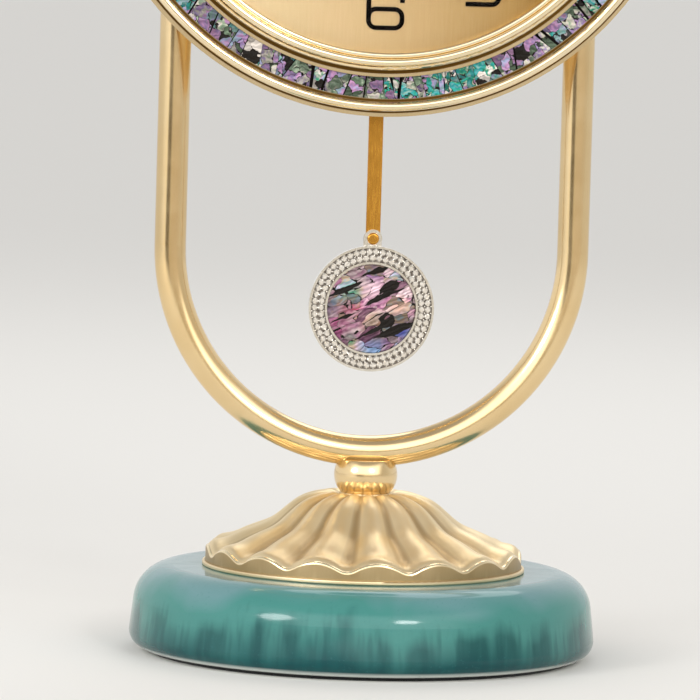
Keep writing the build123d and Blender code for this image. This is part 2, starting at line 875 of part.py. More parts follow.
def make_front_housing():
    split = depth(housing_split)
    shell = housing_shell(movement_front, split, True)
    shell += pin_y(bush_diameter / 2, movement_front - bush_length, movement_front)
    stud_back = depth(minute_layer + wheel_thickness + pinion_extra)
    shell += pin_y(arbor_radius, depth(housing_wall), stud_back, minute_wheel_place)
    shell -= pin_y(hour_pipe_radius + running, movement_front - bush_length, depth(housing_wall))
    for hole in pivot_holes(all_pivots(), True):
        shell -= hole
    return shell


def make_rear_housing():
    split = depth(housing_split)
    shell = housing_shell(split, movement_back, False)
    pivot = (0, -pivot_drop)
    stud_back = hanger_thickness / 2 + slip + clip_thickness + 0.4
    shell += pin_y(pivot_radius, movement_back, stud_back, pivot)
    shell += pin_y(hanger_hub_radius, movement_back, hanger_front - slip, pivot)
    wall_front = movement_back - housing_wall
    shell -= pin_y(knob_arbor_radius + running, wall_front, movement_back, setting_place)
    for hole in pivot_holes(all_pivots() + [((0, 0), second_arbor_radius)], False):
        shell -= hole
    board_back = depth(rotor_layer) + board_thickness
    for across in (-1, 1):
        place = (board_middle()[0] + across * (board_width / 2 - 3), board_middle()[1])
        shell += pin_y(1.2, board_back, wall_front, place)
    stator_back = depth(stator_level()) + stator_thickness
    for across in (-1, 1):
        middle = rotor_place[0] + stator_offset() + across * (stator_width / 2 - 1.5)
        shell += pin_y(1.0, stator_back, wall_front, (middle, rotor_place[1]))
    return shell


def stator_level():
    return rotor_layer + (rotor_length - stator_thickness) / 2


def stator_offset():
    return 3.2


def board_middle():
    across = -movement_half_width + housing_wall + 1 + board_width / 2
    return across, -movement_below + housing_wall + 1 + board_height / 2


def make_stator():
    low_bar = stator_core
    window_height = 2 * coil_half + 0.4 - low_bar / 2
    height = stator_bar + window_height + low_bar
    top = rotor_place[1] + stator_bar / 2
    middle = rotor_place[0] + stator_offset()
    plate = Pos(middle, top - height / 2) * Rectangle(stator_width, height)
    window_width = stator_width - 6.0
    window = Pos(middle, top - stator_bar - window_height / 2) * Rectangle(window_width, window_height)
    bore = Pos(*rotor_place) * Circle(rotor_radius + rotor_gap)
    front = depth(stator_level())
    return plate_y(plate - window - bore, front, front + stator_thickness)


def make_motor_coil():
    middle = rotor_place[0] + stator_offset()
    window_height = 2 * coil_half + 0.4 - stator_core / 2
    level = rotor_place[1] - stator_bar / 2 - window_height - stator_core / 2
    centre_y = depth(stator_level()) + stator_thickness / 2
    half = coil_half - 0.1
    low = (middle - coil_length / 2, centre_y - half, case_centre + level - half)
    high = (middle + coil_length / 2, centre_y + half, case_centre + level + half)
    core_half = stator_core / 2 + running
    deep = stator_thickness / 2 + running
    core = block((middle - coil_length, centre_y - deep, case_centre + level - core_half),
                 (middle + coil_length, centre_y + deep, case_centre + level + core_half))
    winding = fillet(block(low, high).edges().filter_by(Axis.X), 1.0)
    return winding - core


def make_circuit_board():
    across, up = board_middle()
    front = depth(rotor_layer)
    return plate_y(Pos(across, up) * Rectangle(board_width, board_height), front, front + board_thickness)


def make_drive_coil():
    back = movement_back - housing_wall
    place = drive_coil_place
    coil = pin_y(drive_coil_radius, back - drive_coil_length, back, place)
    return coil - pin_y(drive_coil_radius / 3, back - drive_coil_length, back, place)


def cell_middle():
    return bay_floor + slip + cell_diameter / 2


def make_cell():
    middle_y = depth(housing_wall + slip + cell_diameter / 2)
    can = Rot(0, 90, 0) * Cylinder(cell_diameter / 2, cell_length - cell_nub_length)
    tip = Pos(cell_length / 2, 0, 0) * Rot(0, 90, 0) * Cylinder(cell_nub_radius, cell_nub_length)
    return Pos(-cell_nub_length / 2, middle_y, case_centre + cell_middle()) * (fillet(can.edges(), cell_edge) + tip)


def make_cell_contacts():
    middle_y = depth(housing_wall + slip + cell_diameter / 2)
    wall = movement_half_width - housing_wall
    contacts = []
    for side in (-1, 1):
        near = cell_length / 2 + running
        low = case_centre + cell_middle() - contact_half
        tongue = block((near, middle_y - contact_half, low),
                       (wall, middle_y + contact_half, low + 2 * contact_half))
        contacts.append(tongue if side > 0 else tongue.mirror(Plane.YZ))
    return Compound(children=contacts)


def make_rubber_washer():
    return ring_y(bush_diameter, bush_diameter / 2 + slip, dial_back, movement_front)


def make_dial_washer():
    return ring_y(bush_diameter * 0.85, bush_diameter / 2 + slip, dial_front - dial_washer_thickness, dial_front)


def make_hex_nut():
    back = dial_front - dial_washer_thickness
    face = RegularPolygon(nut_width / 2, 6, major_radius=False) - Circle(bush_diameter / 2 + running)
    return plate_y(face, back - nut_thickness, back)


# Pendulum, written with heights below the middle of the dial

def make_hanger():
    top = -pivot_drop
    foot = top - hanger_length
    arm = Pos(0, (top + foot) / 2) * Rectangle(hanger_width, hanger_length)
    face = arm + Pos(0, top) * Circle(hanger_hub_radius + 1) + Pos(0, foot) * Circle(hanger_width / 2)
    face -= Pos(0, top) * Circle(pivot_radius + running)
    hanger = plate_y(face, hanger_front, hanger_thickness / 2)
    stud = pin_y(stud_radius, rod_front - slip, hanger_front, (0, foot))
    return hanger + stud + pin_y(stud_radius + 0.7, rod_front - slip - 0.6, rod_front - slip, (0, foot))


def make_hanger_clip():
    front = hanger_thickness / 2 + slip
    clip = pin_y(clip_radius, front, front + clip_thickness, (0, -pivot_drop))
    return clip - pin_y(pivot_radius + running / 2, front, front + clip_thickness, (0, -pivot_drop))


def make_hanger_magnet():
    return pin_y(magnet_radius, hanger_front - magnet_thickness, hanger_front, drive_coil_place)


def make_rod():
    top = hook_height - case_centre
    foot = rivet_height - case_centre
    strip = Pos(0, (top + foot) / 2) * Rectangle(rod_width, top - foot)
    face = strip + Pos(0, top) * Circle(rod_width / 2) + Pos(0, foot) * Circle(rod_width / 2)
    face -= Pos(0, top) * Circle(stud_radius + running)
    face -= Pos(0, foot) * Circle(rivet_radius / 2 + running)
    return plate_y(face, rod_front, hanger_front)


def lug_front():
    return rod_front - running - lug_thickness


def make_rivet():
    place = (0, rivet_height - case_centre)
    seat = lug_front()
    shank = pin_y(rivet_radius / 2, seat, hanger_front + bob_back_thickness, place)
    head = pin_y(rivet_radius, seat - rivet_rise, seat, place)
    head = fillet(head.edges().group_by(Axis.Y)[0], rivet_rise * 0.7)
    tail = pin_y(rivet_radius * 0.8, hanger_front + bob_back_thickness,
                 hanger_front + bob_back_thickness + 0.5, place)
    return shank + head + tail


def make_bob_back():
    disc = Pos(0, -bob_drop) * Circle(bob_diameter / 2 - 0.2)
    lug_place = rivet_height - case_centre
    neck_foot = -bob_drop + bob_diameter / 2 - 2
    neck = Pos(0, (lug_place + neck_foot) / 2) * Rectangle(2 * lug_radius, lug_place - neck_foot)
    face = disc + neck + Pos(0, lug_place) * Circle(lug_radius)
    face -= Pos(0, lug_place) * Circle(rivet_radius / 2 + running)
    return plate_y(face, hanger_front, hanger_front + bob_back_thickness)


def bob_ring(outer, inner, front, back):
    ring = revolve(box_section(inner, outer, front, back), Axis.Y)
    return Pos(0, 0, bob_centre) * ring


def make_bob_rim():
    outer = bob_diameter / 2
    inner = outer - bob_rim_width
    rim = bob_ring(outer, inner, hanger_front - bob_rim_depth, hanger_front)
    channel_front = hanger_front - bob_rim_depth
    rim = rim - bob_ring(outer - bob_lip, inner + bob_lip, channel_front, channel_front + bob_channel_depth)
    notch_low = (-rod_width / 2 - 3 * slip, rod_front - slip, bob_centre + outer - bob_rim_width - 1)
    notch_high = (rod_width / 2 + 3 * slip, hanger_front, bob_centre + 2 * outer)
    rim = rim - (block(notch_low, notch_high) & notch_zone())
    place = (0, rivet_height - case_centre)
    lug = pin_y(lug_radius, lug_front(), lug_front() + lug_thickness, place)
    return rim + lug - pin_y(rivet_radius / 2 + running, lug_front(), hanger_front, place)


def notch_zone():
    return Pos(0, hanger_front, rivet_height) * Rot(90, 0, 0) * Cylinder(rod_width / 2 + 6 * slip, 8 * rod_thickness)


def make_bob_crystals():
    channel_floor = hanger_front - bob_rim_depth + bob_channel_depth
    middle = bob_diameter / 2 - bob_rim_width / 2
    girdle = crystal_height * 0.35
    outline = Polygon((0, 0), (crystal_radius, 0), (crystal_radius, -girdle),
                      (crystal_radius * 0.55, -crystal_height), (0, -crystal_height), align=None)
    stone = revolve(outline, Axis.Y)
    stones = []
    for row in (-1, 1):
        radius = middle + row * crystal_spacing / 2
        count = int(2 * math.pi * radius / crystal_spacing)
        for k in range(count):
            across, up = polar(radius, 360 * k / count)
            stones.append(Pos(across, channel_floor, bob_centre + up) * stone)
    return Compound(children=stones)


def make_bob_inlay():
    radius = bob_diameter / 2 - bob_rim_width - running
    disc = bob_ring(radius, 0, hanger_front - bob_inlay_thickness, hanger_front)
    return fillet(disc.edges().group_by(Axis.Y)[0], 0.4)


pieces = {
    "base_pad": make_pad,
    "ceramic_base": make_base,
    "stand_washer": make_washer,
    "stand_bolt": make_bolt,
    "fluted_dome": make_dome,
    "neck_bead": make_neck_bead,
    "u_frame": make_frame,
    "leg_plugs": make_leg_plugs,
    "leg_blocks": make_leg_blocks,
    "leg_screws": make_leg_screws,
    "case_shell": make_shell,
    "case_front": make_case_front,
    "back_plate": make_back_plate,
    "back_screws": make_back_screws,
    "bezel": make_bezel,
    "bezel_screws": make_bezel_screws,
    "shell_ring": make_shell_ring,
    "glass_bezel": make_glass_bezel,
    "dial_glass": make_glass,
    "glass_spacer": make_glass_spacer,
    "dial": make_dial,
    "numerals": make_numerals,
    "hour_hand": make_hour_hand,
    "minute_hand": make_minute_hand,
    "second_hand": make_second_hand,
    "front_housing": make_front_housing,
    "rear_housing": make_rear_housing,
    "rubber_washer": make_rubber_washer,
    "dial_washer": make_dial_washer,
    "hex_nut": make_hex_nut,
    "hour_wheel": make_hour_wheel,
    "minute_wheel": make_minute_wheel,
    "centre_wheel": make_centre_wheel,
    "third_wheel": make_third_wheel,
    "second_arbor": make_second_arbor,
    "intermediate_wheel": make_intermediate_wheel,
    "rotor": make_rotor,
    "stator": make_stator,
    "motor_coil": make_motor_coil,
    "circuit_board": make_circuit_board,
    "setting_knob": make_setting_knob,
    "cell": make_cell,
    "cell_contacts": make_cell_contacts,
    "drive_coil": make_drive_coil,
    "hanger": make_hanger,
    "hanger_clip": make_hanger_clip,
    "hanger_magnet": make_hanger_magnet,
    "pendulum_rod": make_rod,
    "rod_rivet": make_rivet,
    "bob_back": make_bob_back,
    "bob_rim": make_bob_rim,
    "bob_crystals": make_bob_crystals,
    "bob_inlay": make_bob_inlay,
}

os.makedirs("parts", exist_ok=True)
for name, make in pieces.items():
    export_step(make(), f"parts/{name}.step")
print(f"case centre {case_centre:.2f}, total height {case_centre + case_radius:.2f}")
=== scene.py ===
import json
import math
import random

import bmesh
import bpy
from mathutils import Matrix, Vector


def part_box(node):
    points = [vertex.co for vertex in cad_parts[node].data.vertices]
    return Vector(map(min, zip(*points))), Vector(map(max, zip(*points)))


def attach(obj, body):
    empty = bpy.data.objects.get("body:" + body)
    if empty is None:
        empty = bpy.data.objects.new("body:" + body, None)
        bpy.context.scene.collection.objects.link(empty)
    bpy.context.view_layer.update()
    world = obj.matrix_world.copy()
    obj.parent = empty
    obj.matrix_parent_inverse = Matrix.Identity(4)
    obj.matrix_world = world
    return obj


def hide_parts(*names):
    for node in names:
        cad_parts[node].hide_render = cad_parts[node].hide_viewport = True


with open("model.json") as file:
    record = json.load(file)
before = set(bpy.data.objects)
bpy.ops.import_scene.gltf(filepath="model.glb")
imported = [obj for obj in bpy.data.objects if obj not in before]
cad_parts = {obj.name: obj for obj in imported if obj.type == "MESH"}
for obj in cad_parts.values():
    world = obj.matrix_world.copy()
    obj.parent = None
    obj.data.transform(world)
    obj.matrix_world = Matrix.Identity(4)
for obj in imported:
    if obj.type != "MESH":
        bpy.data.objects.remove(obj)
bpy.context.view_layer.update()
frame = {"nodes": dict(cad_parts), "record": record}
print("frame loaded:", len(frame["nodes"]), "nodes")
mm = 0.001
yAxis = (0, 1, 0)
waveUnit = math.pi / 10  # a straight wave texture of scale 1 repeats after this length


def hexColour(text):
    parts = [int(text[k:k + 2], 16) / 255 for k in (1, 3, 5)]
    linear = [c / 12.92 if c <= 0.04045 else ((c + 0.055) / 1.055) ** 2.4 for c in parts]
    return (*linear, 1.0)


# a link names an output socket, or a node for its first output
def linkUp(tree, node, links):
    for key, source in links.items():
        output = source if isinstance(source, bpy.types.NodeSocket) else source.outputs[0]
        tree.links.new(output, node.inputs[key])


def addNode(tree, kind, settings=None, links=None):
    node = tree.nodes.new("ShaderNode" + kind)
    for key, value in (settings or {}).items():
        if key == "stops":
            elements = node.color_ramp.elements
            while len(elements) < len(value):
                elements.new(1.0)
            for element, (position, colour) in zip(elements, value):
                element.position = position
                element.color = hexColour(colour)
        elif isinstance(key, int) or key in node.inputs:
            node.inputs[key].default_value = value
        else:
            setattr(node, key, value)
    linkUp(tree, node, links or {})
    return node


def middleOf(node):
    low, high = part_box(node)
    return (low + high) / 2


# every material starts here; place is in millimetres, so a noise scale is 1 / its size in mm
def startMaterial(name, shader, turn=(0, 0, 0), centre=(0, 0, 0)):
    material = bpy.data.materials.new(name)
    material.use_nodes = True
    tree = material.node_tree
    tree.nodes.clear()
    principled = addNode(tree, "BsdfPrincipled", shader)
    addNode(tree, "OutputMaterial", {}, {"Surface": principled})
    where = addNode(tree, "TexCoord").outputs["Object"]
    shifted = addNode(tree, "Mapping", {"Location": [-c for c in centre]}, {"Vector": where})
    angles = [math.radians(t) for t in turn]
    place = addNode(tree, "Mapping", {"Rotation": angles, "Scale": (1 / mm,) * 3}, {"Vector": shifted})
    return material, tree, principled, place.outputs[0]


# two colours in soft clouds, an uneven gloss and a fine surface: most finishes on the clock are this
def mottledFinish(name, look, shader=None):
    shading = {"Metallic": look.get("metallic", 0.0), **(shader or {})}
    material, tree, principled, place = startMaterial(name, shading)
    stretch = addNode(tree, "Mapping", {"Scale": look.get("stretch", (1, 1, 1))}, {"Vector": place})
    clouds = addNode(tree, "TexNoise", {"Scale": 1 / look["cloud"], "Detail": 4.0}, {"Vector": stretch})
    colours = addNode(tree, "ValToRGB", {"stops": [(0.3, look["dark"]), (0.7, look["light"])]},
                      {"Fac": clouds})
    grain = addNode(tree, "TexNoise", {"Scale": 1 / look["grain"], "Detail": 3.0}, {"Vector": stretch})
    gloss = addNode(tree, "MapRange", {"From Min": 0.3, "From Max": 0.7, "To Min": look["rough"][0],
                                       "To Max": look["rough"][1]}, {"Value": grain})
    relief = addNode(tree, "Bump", {"Strength": look["relief"], "Distance": look["grain"] * mm * 0.3},
                     {"Height": grain})
    linkUp(tree, principled, {"Base Color": colours, "Roughness": gloss, "Normal": relief})
    return material


# Gold-plated brass, buffed: nearly a mirror, with faint wiping clouds that keep the highlights alive
polishedGold = mottledFinish("polishedGoldPlate", {
    "metallic": 1.0, "light": "#F1D7A8", "dark": "#E8CA96", "cloud": 24.0, "grain": 9.0,
    "rough": (0.15, 0.21), "relief": 0.004})


# Gold-plated brass and zinc with light painted in bands by radius: dark bands are painted shade that draws
# each bead of the bezel with a dark line in its grooves, and painted shade deepens the valleys of the dome's
# flutes; the dome's wavy edge has a lighter painted highlight band with a lower roughness, above a darker
# painted shade band on the skirt.
# A band is low and high radius in mm, colour and roughness
bezelLook = {
    "flatten": (1, 0, 1), "light": "#F8E7C4", "dark": "#F0DBB2", "cloud": 24.0, "gloss": 0.13, "soft": 0.12,
    "bands": [(81.05, 82.25, "#5E431B", 0.36), (90.15, 91.1, "#5E431B", 0.36),
              (93.95, 94.6, "#5E431B", 0.36)]}
# on the dome the flute valleys get painted shade; the first band is a lighter painted highlight with a lower
# roughness, the second is painted shade on the skirt
domeLook = {
    "flatten": (1, 1, 0), "light": "#F7E4BE", "dark": "#ECD6AA", "cloud": 24.0, "gloss": 0.42, "soft": 0.08,
    "bands": [(49.62, 50.42, "#F8E6BE", 0.2), (50.46, 50.7, "#957A4D", 0.42)],
    "flutes": {"count": 16, "turn": -101.3, "valleyShade": "#8E6C38", "strength": 0.55, "reach": (49.2, 44.0)}}


def bandedGold(name, look, centre):
    material, tree, principled, place = startMaterial(name, {"Metallic": 1.0}, centre=centre)
    flat = addNode(tree, "Mapping", {"Scale": look["flatten"]}, {"Vector": place})
    radius = addNode(tree, "VectorMath", {"operation": "LENGTH"}, {0: flat}).outputs[1]
    clouds = addNode(tree, "TexNoise", {"Scale": 1 / look["cloud"], "Detail": 4.0}, {"Vector": place})
    colour = addNode(tree, "ValToRGB", {"stops": [(0.3, look["dark"]), (0.7, look["light"])]},
                     {"Fac": clouds}).outputs[0]
    gloss = addNode(tree, "MapRange", {"To Min": look["gloss"] * 0.85, "To Max": look["gloss"] * 1.15},
                    {"Value": clouds}).outputs[0]
    # painted shade in the valleys of the flutes, fading in towards the rim
    if "flutes" in look:
        flutes = look["flutes"]
        where = addNode(tree, "SeparateXYZ", {}, {"Vector": place})
        turn = addNode(tree, "Math", {"operation": "ARCTAN2"}, {0: where.outputs[1], 1: where})
        phase = addNode(tree, "Math", {"operation": "MULTIPLY_ADD", 1: flutes["count"],
                                       2: -math.radians(flutes["turn"]) * flutes["count"]}, {0: turn})
        wave = addNode(tree, "Math", {"operation": "COSINE"}, {0: phase})
        valley = addNode(tree, "MapRange", {"From Min": 0.5, "From Max": 1.0, "To Max": flutes["strength"]},
                         {"Value": wave})
        within = addNode(tree, "MapRange", {"From Min": flutes["reach"][0], "From Max": flutes["reach"][1]},
                         {"Value": radius})
        valleyShaded = addNode(tree, "Math", {"operation": "MULTIPLY"}, {0: valley, 1: within})
        colour = addNode(tree, "Mix", {"data_type": "RGBA", 7: hexColour(flutes["valleyShade"])},
                         {0: valleyShaded, 6: colour}).outputs[2]
    soft = look["soft"]
    # each band paints light into the colour: a dark band is painted shade, a lighter band is a painted
    # highlight
    for low, high, tint, rough in look["bands"]:
        inside = addNode(tree, "MapRange", {"From Min": low - soft, "From Max": low + soft},
                         {"Value": radius})
        outside = addNode(tree, "MapRange", {"From Min": high + soft, "From Max": high - soft},
                          {"Value": radius})
        band = addNode(tree, "Math", {"operation": "MULTIPLY"}, {0: inside, 1: outside})
        colour = addNode(tree, "Mix", {"data_type": "RGBA", 7: hexColour(tint)},
                         {0: band, 6: colour}).outputs[2]
        gloss = addNode(tree, "Mix", {"data_type": "FLOAT", 3: rough}, {0: band, 2: gloss}).outputs[0]
    linkUp(tree, principled, {"Base Color": colour, "Roughness": gloss})
    return material


# Gold-plated zinc casting, satin: the same gold with a soft broad shine
satinGold = mottledFinish("satinGoldPlate", {
    "metallic": 1.0, "light": "#E9CF9F", "dark": "#E4C896", "cloud": 45.0, "grain": 0.6,
    "rough": (0.33, 0.42), "relief": 0.02})

# Gold-plated brass sheet, spun: turning lines 0.2 mm apart, drawn 0.9 mm apart so that they show as faint
# rings round the plate
spunLook = {"line": 0.9, "light": "#EAD0A1", "dark": "#E2C795", "rough": (0.27, 0.42), "depth": 0.05 * mm}


def spunGold(look):
    material, tree, principled, place = startMaterial(
        "spunGoldSheet", {"Metallic": 1.0}, centre=middleOf("back_plate"))
    flat = addNode(tree, "Mapping", {"Scale": (1, 0, 1)}, {"Vector": place})
    radius = addNode(tree, "VectorMath", {"operation": "LENGTH"}, {0: flat})
    rings = addNode(tree, "TexNoise", {"noise_dimensions": "1D", "Scale": 1 / look["line"], "Detail": 3.0},
                    {"W": radius.outputs[1]})
    colours = addNode(tree, "ValToRGB", {"stops": [(0.25, look["dark"]), (0.75, look["light"])]},
                      {"Fac": rings})
    gloss = addNode(tree, "MapRange", {"From Min": 0.3, "From Max": 0.7, "To Min": look["rough"][0],
                                       "To Max": look["rough"][1]}, {"Value": rings})
    relief = addNode(tree, "Bump", {"Strength": 0.12, "Distance": look["depth"]}, {"Height": rings})
    linkUp(tree, principled, {"Base Color": colours, "Roughness": gloss, "Normal": relief})
    return material


# Anodised aluminium dial, brushed upright: fine lines spread the shine sideways, and painted shade darkens
# the champagne from pale at the left to deep at the right
dialLook = {
    "pale": "#E9CEA2", "deep": "#A58047", "reach": 62.0, "line": 0.5, "rough": (0.34, 0.42),
    "depth": 0.1 * mm}


def dialGold(look):
    material, tree, principled, place = startMaterial(
        "brushedChampagneDial", {"Metallic": 1.0}, centre=middleOf("dial"))
    across = addNode(tree, "SeparateXYZ", {}, {"Vector": place})
    upright = addNode(tree, "Mapping", {"Scale": (1, 1, 0.04)}, {"Vector": place})
    lines = addNode(tree, "TexNoise", {"Scale": 1 / look["line"], "Detail": 3.0}, {"Vector": upright})
    # painted shade: the colour goes from pale at the left of the dial to deep at the right
    shifted = addNode(tree, "Math", {"operation": "MULTIPLY_ADD", 1: look["reach"] * 0.25},
                      {0: lines, 2: across})
    share = addNode(tree, "MapRange", {"From Min": -look["reach"] * 0.875, "From Max": look["reach"] * 1.125},
                    {"Value": shifted})
    colours = addNode(tree, "ValToRGB", {"stops": [(0.1, look["pale"]), (0.9, look["deep"])]}, {"Fac": share})
    gloss = addNode(tree, "MapRange", {"From Min": 0.3, "From Max": 0.7, "To Min": look["rough"][0],
                                       "To Max": look["rough"][1]}, {"Value": lines})
    relief = addNode(tree, "Bump", {"Strength": 0.04, "Distance": look["depth"]}, {"Height": lines})
    linkUp(tree, principled, {"Base Color": colours, "Roughness": gloss, "Normal": relief})
    return material


# Rolled brass strip under clear lacquer: deeper and more orange than the plating
rodBrass = mottledFinish("lacqueredBrassStrip", {
    "metallic": 1.0, "light": "#D59D44", "dark": "#BE8634", "cloud": 8.0, "grain": 0.6,
    "stretch": (1, 1, 0.15), "rough": (0.2, 0.3), "relief": 0.02})

# Rhodium-plated casting: a cold bright white metal
bobSilver = mottledFinish("rhodiumPlate", {
    "metallic": 1.0, "light": "#F4F0E8", "dark": "#EFEBE3", "cloud": 12.0, "grain": 0.8,
    "rough": (0.14, 0.24), "relief": 0.02})

# Dark silver as painted shade under the stones: a warm grey with a little shine
shadeSilver = mottledFinish("paintedShadeSilver", {
    "metallic": 1.0, "light": "#8C837A", "dark": "#5B534C", "cloud": 1.0, "grain": 0.3,
    "rough": (0.4, 0.55), "relief": 0.1})

# Foil-backed cut glass: flat facets that flash white or go dark one by one
cutCrystal = mottledFinish("foilBackedCrystal", {
    "metallic": 0.6, "light": "#FDFAF5", "dark": "#EAE4DB", "cloud": 1.5, "grain": 0.5,
    "rough": (0.03, 0.07), "relief": 0.0}, {"Coat Weight": 0.6, "Coat Roughness": 0.03})

# Pressed wool felt, dyed black: no shine, a fuzz at the edge
blackFelt = mottledFinish("pressedFelt", {
    "light": "#26272A", "dark": "#141416", "cloud": 1.4, "grain": 0.5,
    "rough": (0.9, 1.0), "relief": 0.9}, {"Sheen Weight": 0.35, "Sheen Roughness": 0.6})

# Float glass with a glare coat: clear, flat and nearly without mirror images; the low IOR is for the coat
clearGlass = mottledFinish("floatGlass", {
    "light": "#FFFFFF", "dark": "#FBFDFC", "cloud": 30.0, "grain": 8.0,
    "rough": (0.0, 0.012), "relief": 0.0},
    {"Transmission Weight": 1.0, "IOR": 1.12, "Specular IOR Level": 0.02})

# Screen-printed black lacquer: warm black with a half gloss
blackLacquer = mottledFinish("blackLacquer", {
    "light": "#0F0A07", "dark": "#080403", "cloud": 3.0, "grain": 0.4,
    "rough": (0.5, 0.62), "relief": 0.05}, {"Specular IOR Level": 0.04})

# Bright-zinc steel, turned and stamped: a grey metal with a slightly uneven shine
brightSteel = mottledFinish("zincPlatedSteel", {
    "metallic": 1.0, "light": "#C9CBCC", "dark": "#A7AAAD", "cloud": 2.5, "grain": 0.3,
    "rough": (0.24, 0.4), "relief": 0.08})

# Die-cast zinc as it leaves the mould: dull grey with a fine crystal grain
castZinc = mottledFinish("dieCastZinc", {
    "metallic": 1.0, "light": "#A9ABAC", "dark": "#8A8D90", "cloud": 1.6, "grain": 0.6,
    "rough": (0.42, 0.58), "relief": 0.25})

# Turned brass, bare: yellow with a soft machined shine
turnedBrass = mottledFinish("turnedBrass", {
    "metallic": 1.0, "light": "#DDB765", "dark": "#C69A45", "cloud": 2.0, "grain": 0.25,
    "rough": (0.2, 0.34), "relief": 0.06})

# ABS, spark-eroded mould: black with a fine even pebble
blackAbs = mottledFinish("sparkTexturedAbs", {
    "light": "#2B2C2E", "dark": "#1B1C1E", "cloud": 6.0, "grain": 0.55,
    "rough": (0.42, 0.56), "relief": 0.35})

# Acetal, moulded: milky white, waxy
whiteAcetal = mottledFinish("mouldedAcetal", {
    "light": "#EFEDE6", "dark": "#E1DED4", "cloud": 4.0, "grain": 0.8,
    "rough": (0.34, 0.44), "relief": 0.06}, {"Subsurface Weight": 0.1, "Subsurface Scale": 0.002})

# Nitrile rubber, die cut: matt black
blackRubber = mottledFinish("dieCutNitrile", {
    "light": "#2A2A2A", "dark": "#181818", "cloud": 2.0, "grain": 0.4,
    "rough": (0.7, 0.85), "relief": 0.3})


# Enamelled copper wire, wound: turns 0.1 mm apart are drawn nearly 1 mm apart so that they show
coilLook = {"turns": 0.977, "wire": "#C9743A", "gap": "#6E3214", "depth": 0.1 * mm}


def woundCopper(look):
    material, tree, principled, place = startMaterial(
        "enamelledCopperWire", {"Metallic": 1.0, "Roughness": 0.28})
    slanted = waveUnit * math.sqrt(2) / look["turns"]  # diagonal waves are this much wider on a flat side
    turns = addNode(tree, "TexWave", {"bands_direction": "DIAGONAL", "Scale": slanted, "Distortion": 0.4},
                    {"Vector": place})
    # painted shade: the gap colour darkens the grooves between the turns
    colours = addNode(tree, "ValToRGB", {"stops": [(0.1, look["gap"]), (0.6, look["wire"])]},
                      {"Fac": turns.outputs[1]})
    relief = addNode(tree, "Bump", {"Strength": 0.6, "Distance": look["depth"]}, {"Height": turns.outputs[1]})
    linkUp(tree, principled, {"Base Color": colours, "Normal": relief})
    return material


# Glass-cloth laminate with green solder mask: threads 0.5 mm apart show as a faint grid, drawn 1 mm apart
boardLook = {"cloth": 0.986, "light": "#2C7848", "dark": "#1B5A34"}


def boardLaminate(look):
    material, tree, principled, place = startMaterial("solderMaskedLaminate", {"Roughness": 0.32})
    scale = waveUnit / look["cloth"]
    across = addNode(tree, "TexWave", {"bands_direction": "X", "Scale": scale}, {"Vector": place})
    upright = addNode(tree, "TexWave", {"bands_direction": "Z", "Scale": scale}, {"Vector": place})
    cloth = addNode(tree, "Math", {"operation": "MULTIPLY"}, {0: across.outputs[1], 1: upright.outputs[1]})
    colours = addNode(tree, "ValToRGB", {"stops": [(0.0, look["dark"]), (1.0, look["light"])]},
                      {"Fac": cloth})
    linkUp(tree, principled, {"Base Color": colours})
    return material


# Printed shrink sleeve on a dry cell: plain bands along its length, with the bare can at both ends
def cellSleeve():
    low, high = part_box("cell")
    material, tree, principled, place = startMaterial("shrinkSleeve", {}, centre=middleOf("cell"))
    along = addNode(tree, "SeparateXYZ", {}, {"Vector": place})
    half = (high.x - low.x) / 2 / mm
    share = addNode(tree, "MapRange", {"From Min": -half, "From Max": half}, {"Value": along})
    bands = addNode(tree, "ValToRGB", {"stops": [
        (0.0, "#B9BABB"), (0.035, "#22262B"), (0.66, "#B57A3C"), (0.93, "#C9CACB")]}, {"Fac": share})
    bands.color_ramp.interpolation = "CONSTANT"
    scuffs = addNode(tree, "TexNoise", {"Scale": 1 / 3.0, "Detail": 5.0}, {"Vector": place})
    gloss = addNode(tree, "MapRange", {"To Min": 0.2, "To Max": 0.42}, {"Value": scuffs})
    bare = addNode(tree, "ValToRGB", {"stops": [(0.0, "#FFFFFF"), (0.035, "#000000"), (0.93, "#FFFFFF")]},
                   {"Fac": share})
    bare.color_ramp.interpolation = "CONSTANT"
    linkUp(tree, principled, {"Base Color": bands, "Roughness": gloss, "Metallic": bare})
    return material


# Stoneware under a thick teal glaze: it pools dark in soft patches and is darker towards the foot and paler
# towards the top; dark runs down the side are painted reflections of dark things in the room, and a pale line
# at the foot is a painted reflection of the pale floor. A run is its width in mm and its strength
tealLook = {
    "pale": "#658D90", "mid": "#43837C", "deep": "#00494B", "darkReflection": "#003F42", "footReflection": "#D5DBD6",
    "fleck": "#2B6A6C", "patch": 34.0, "pool": 0.16, "paintedReflections": ((8.0, 0.62), (2.4, 0.34)), "foot": (0.07, 0.03),
    "speck": 1.1, "waver": 12.0, "depth": 1.2 * mm}


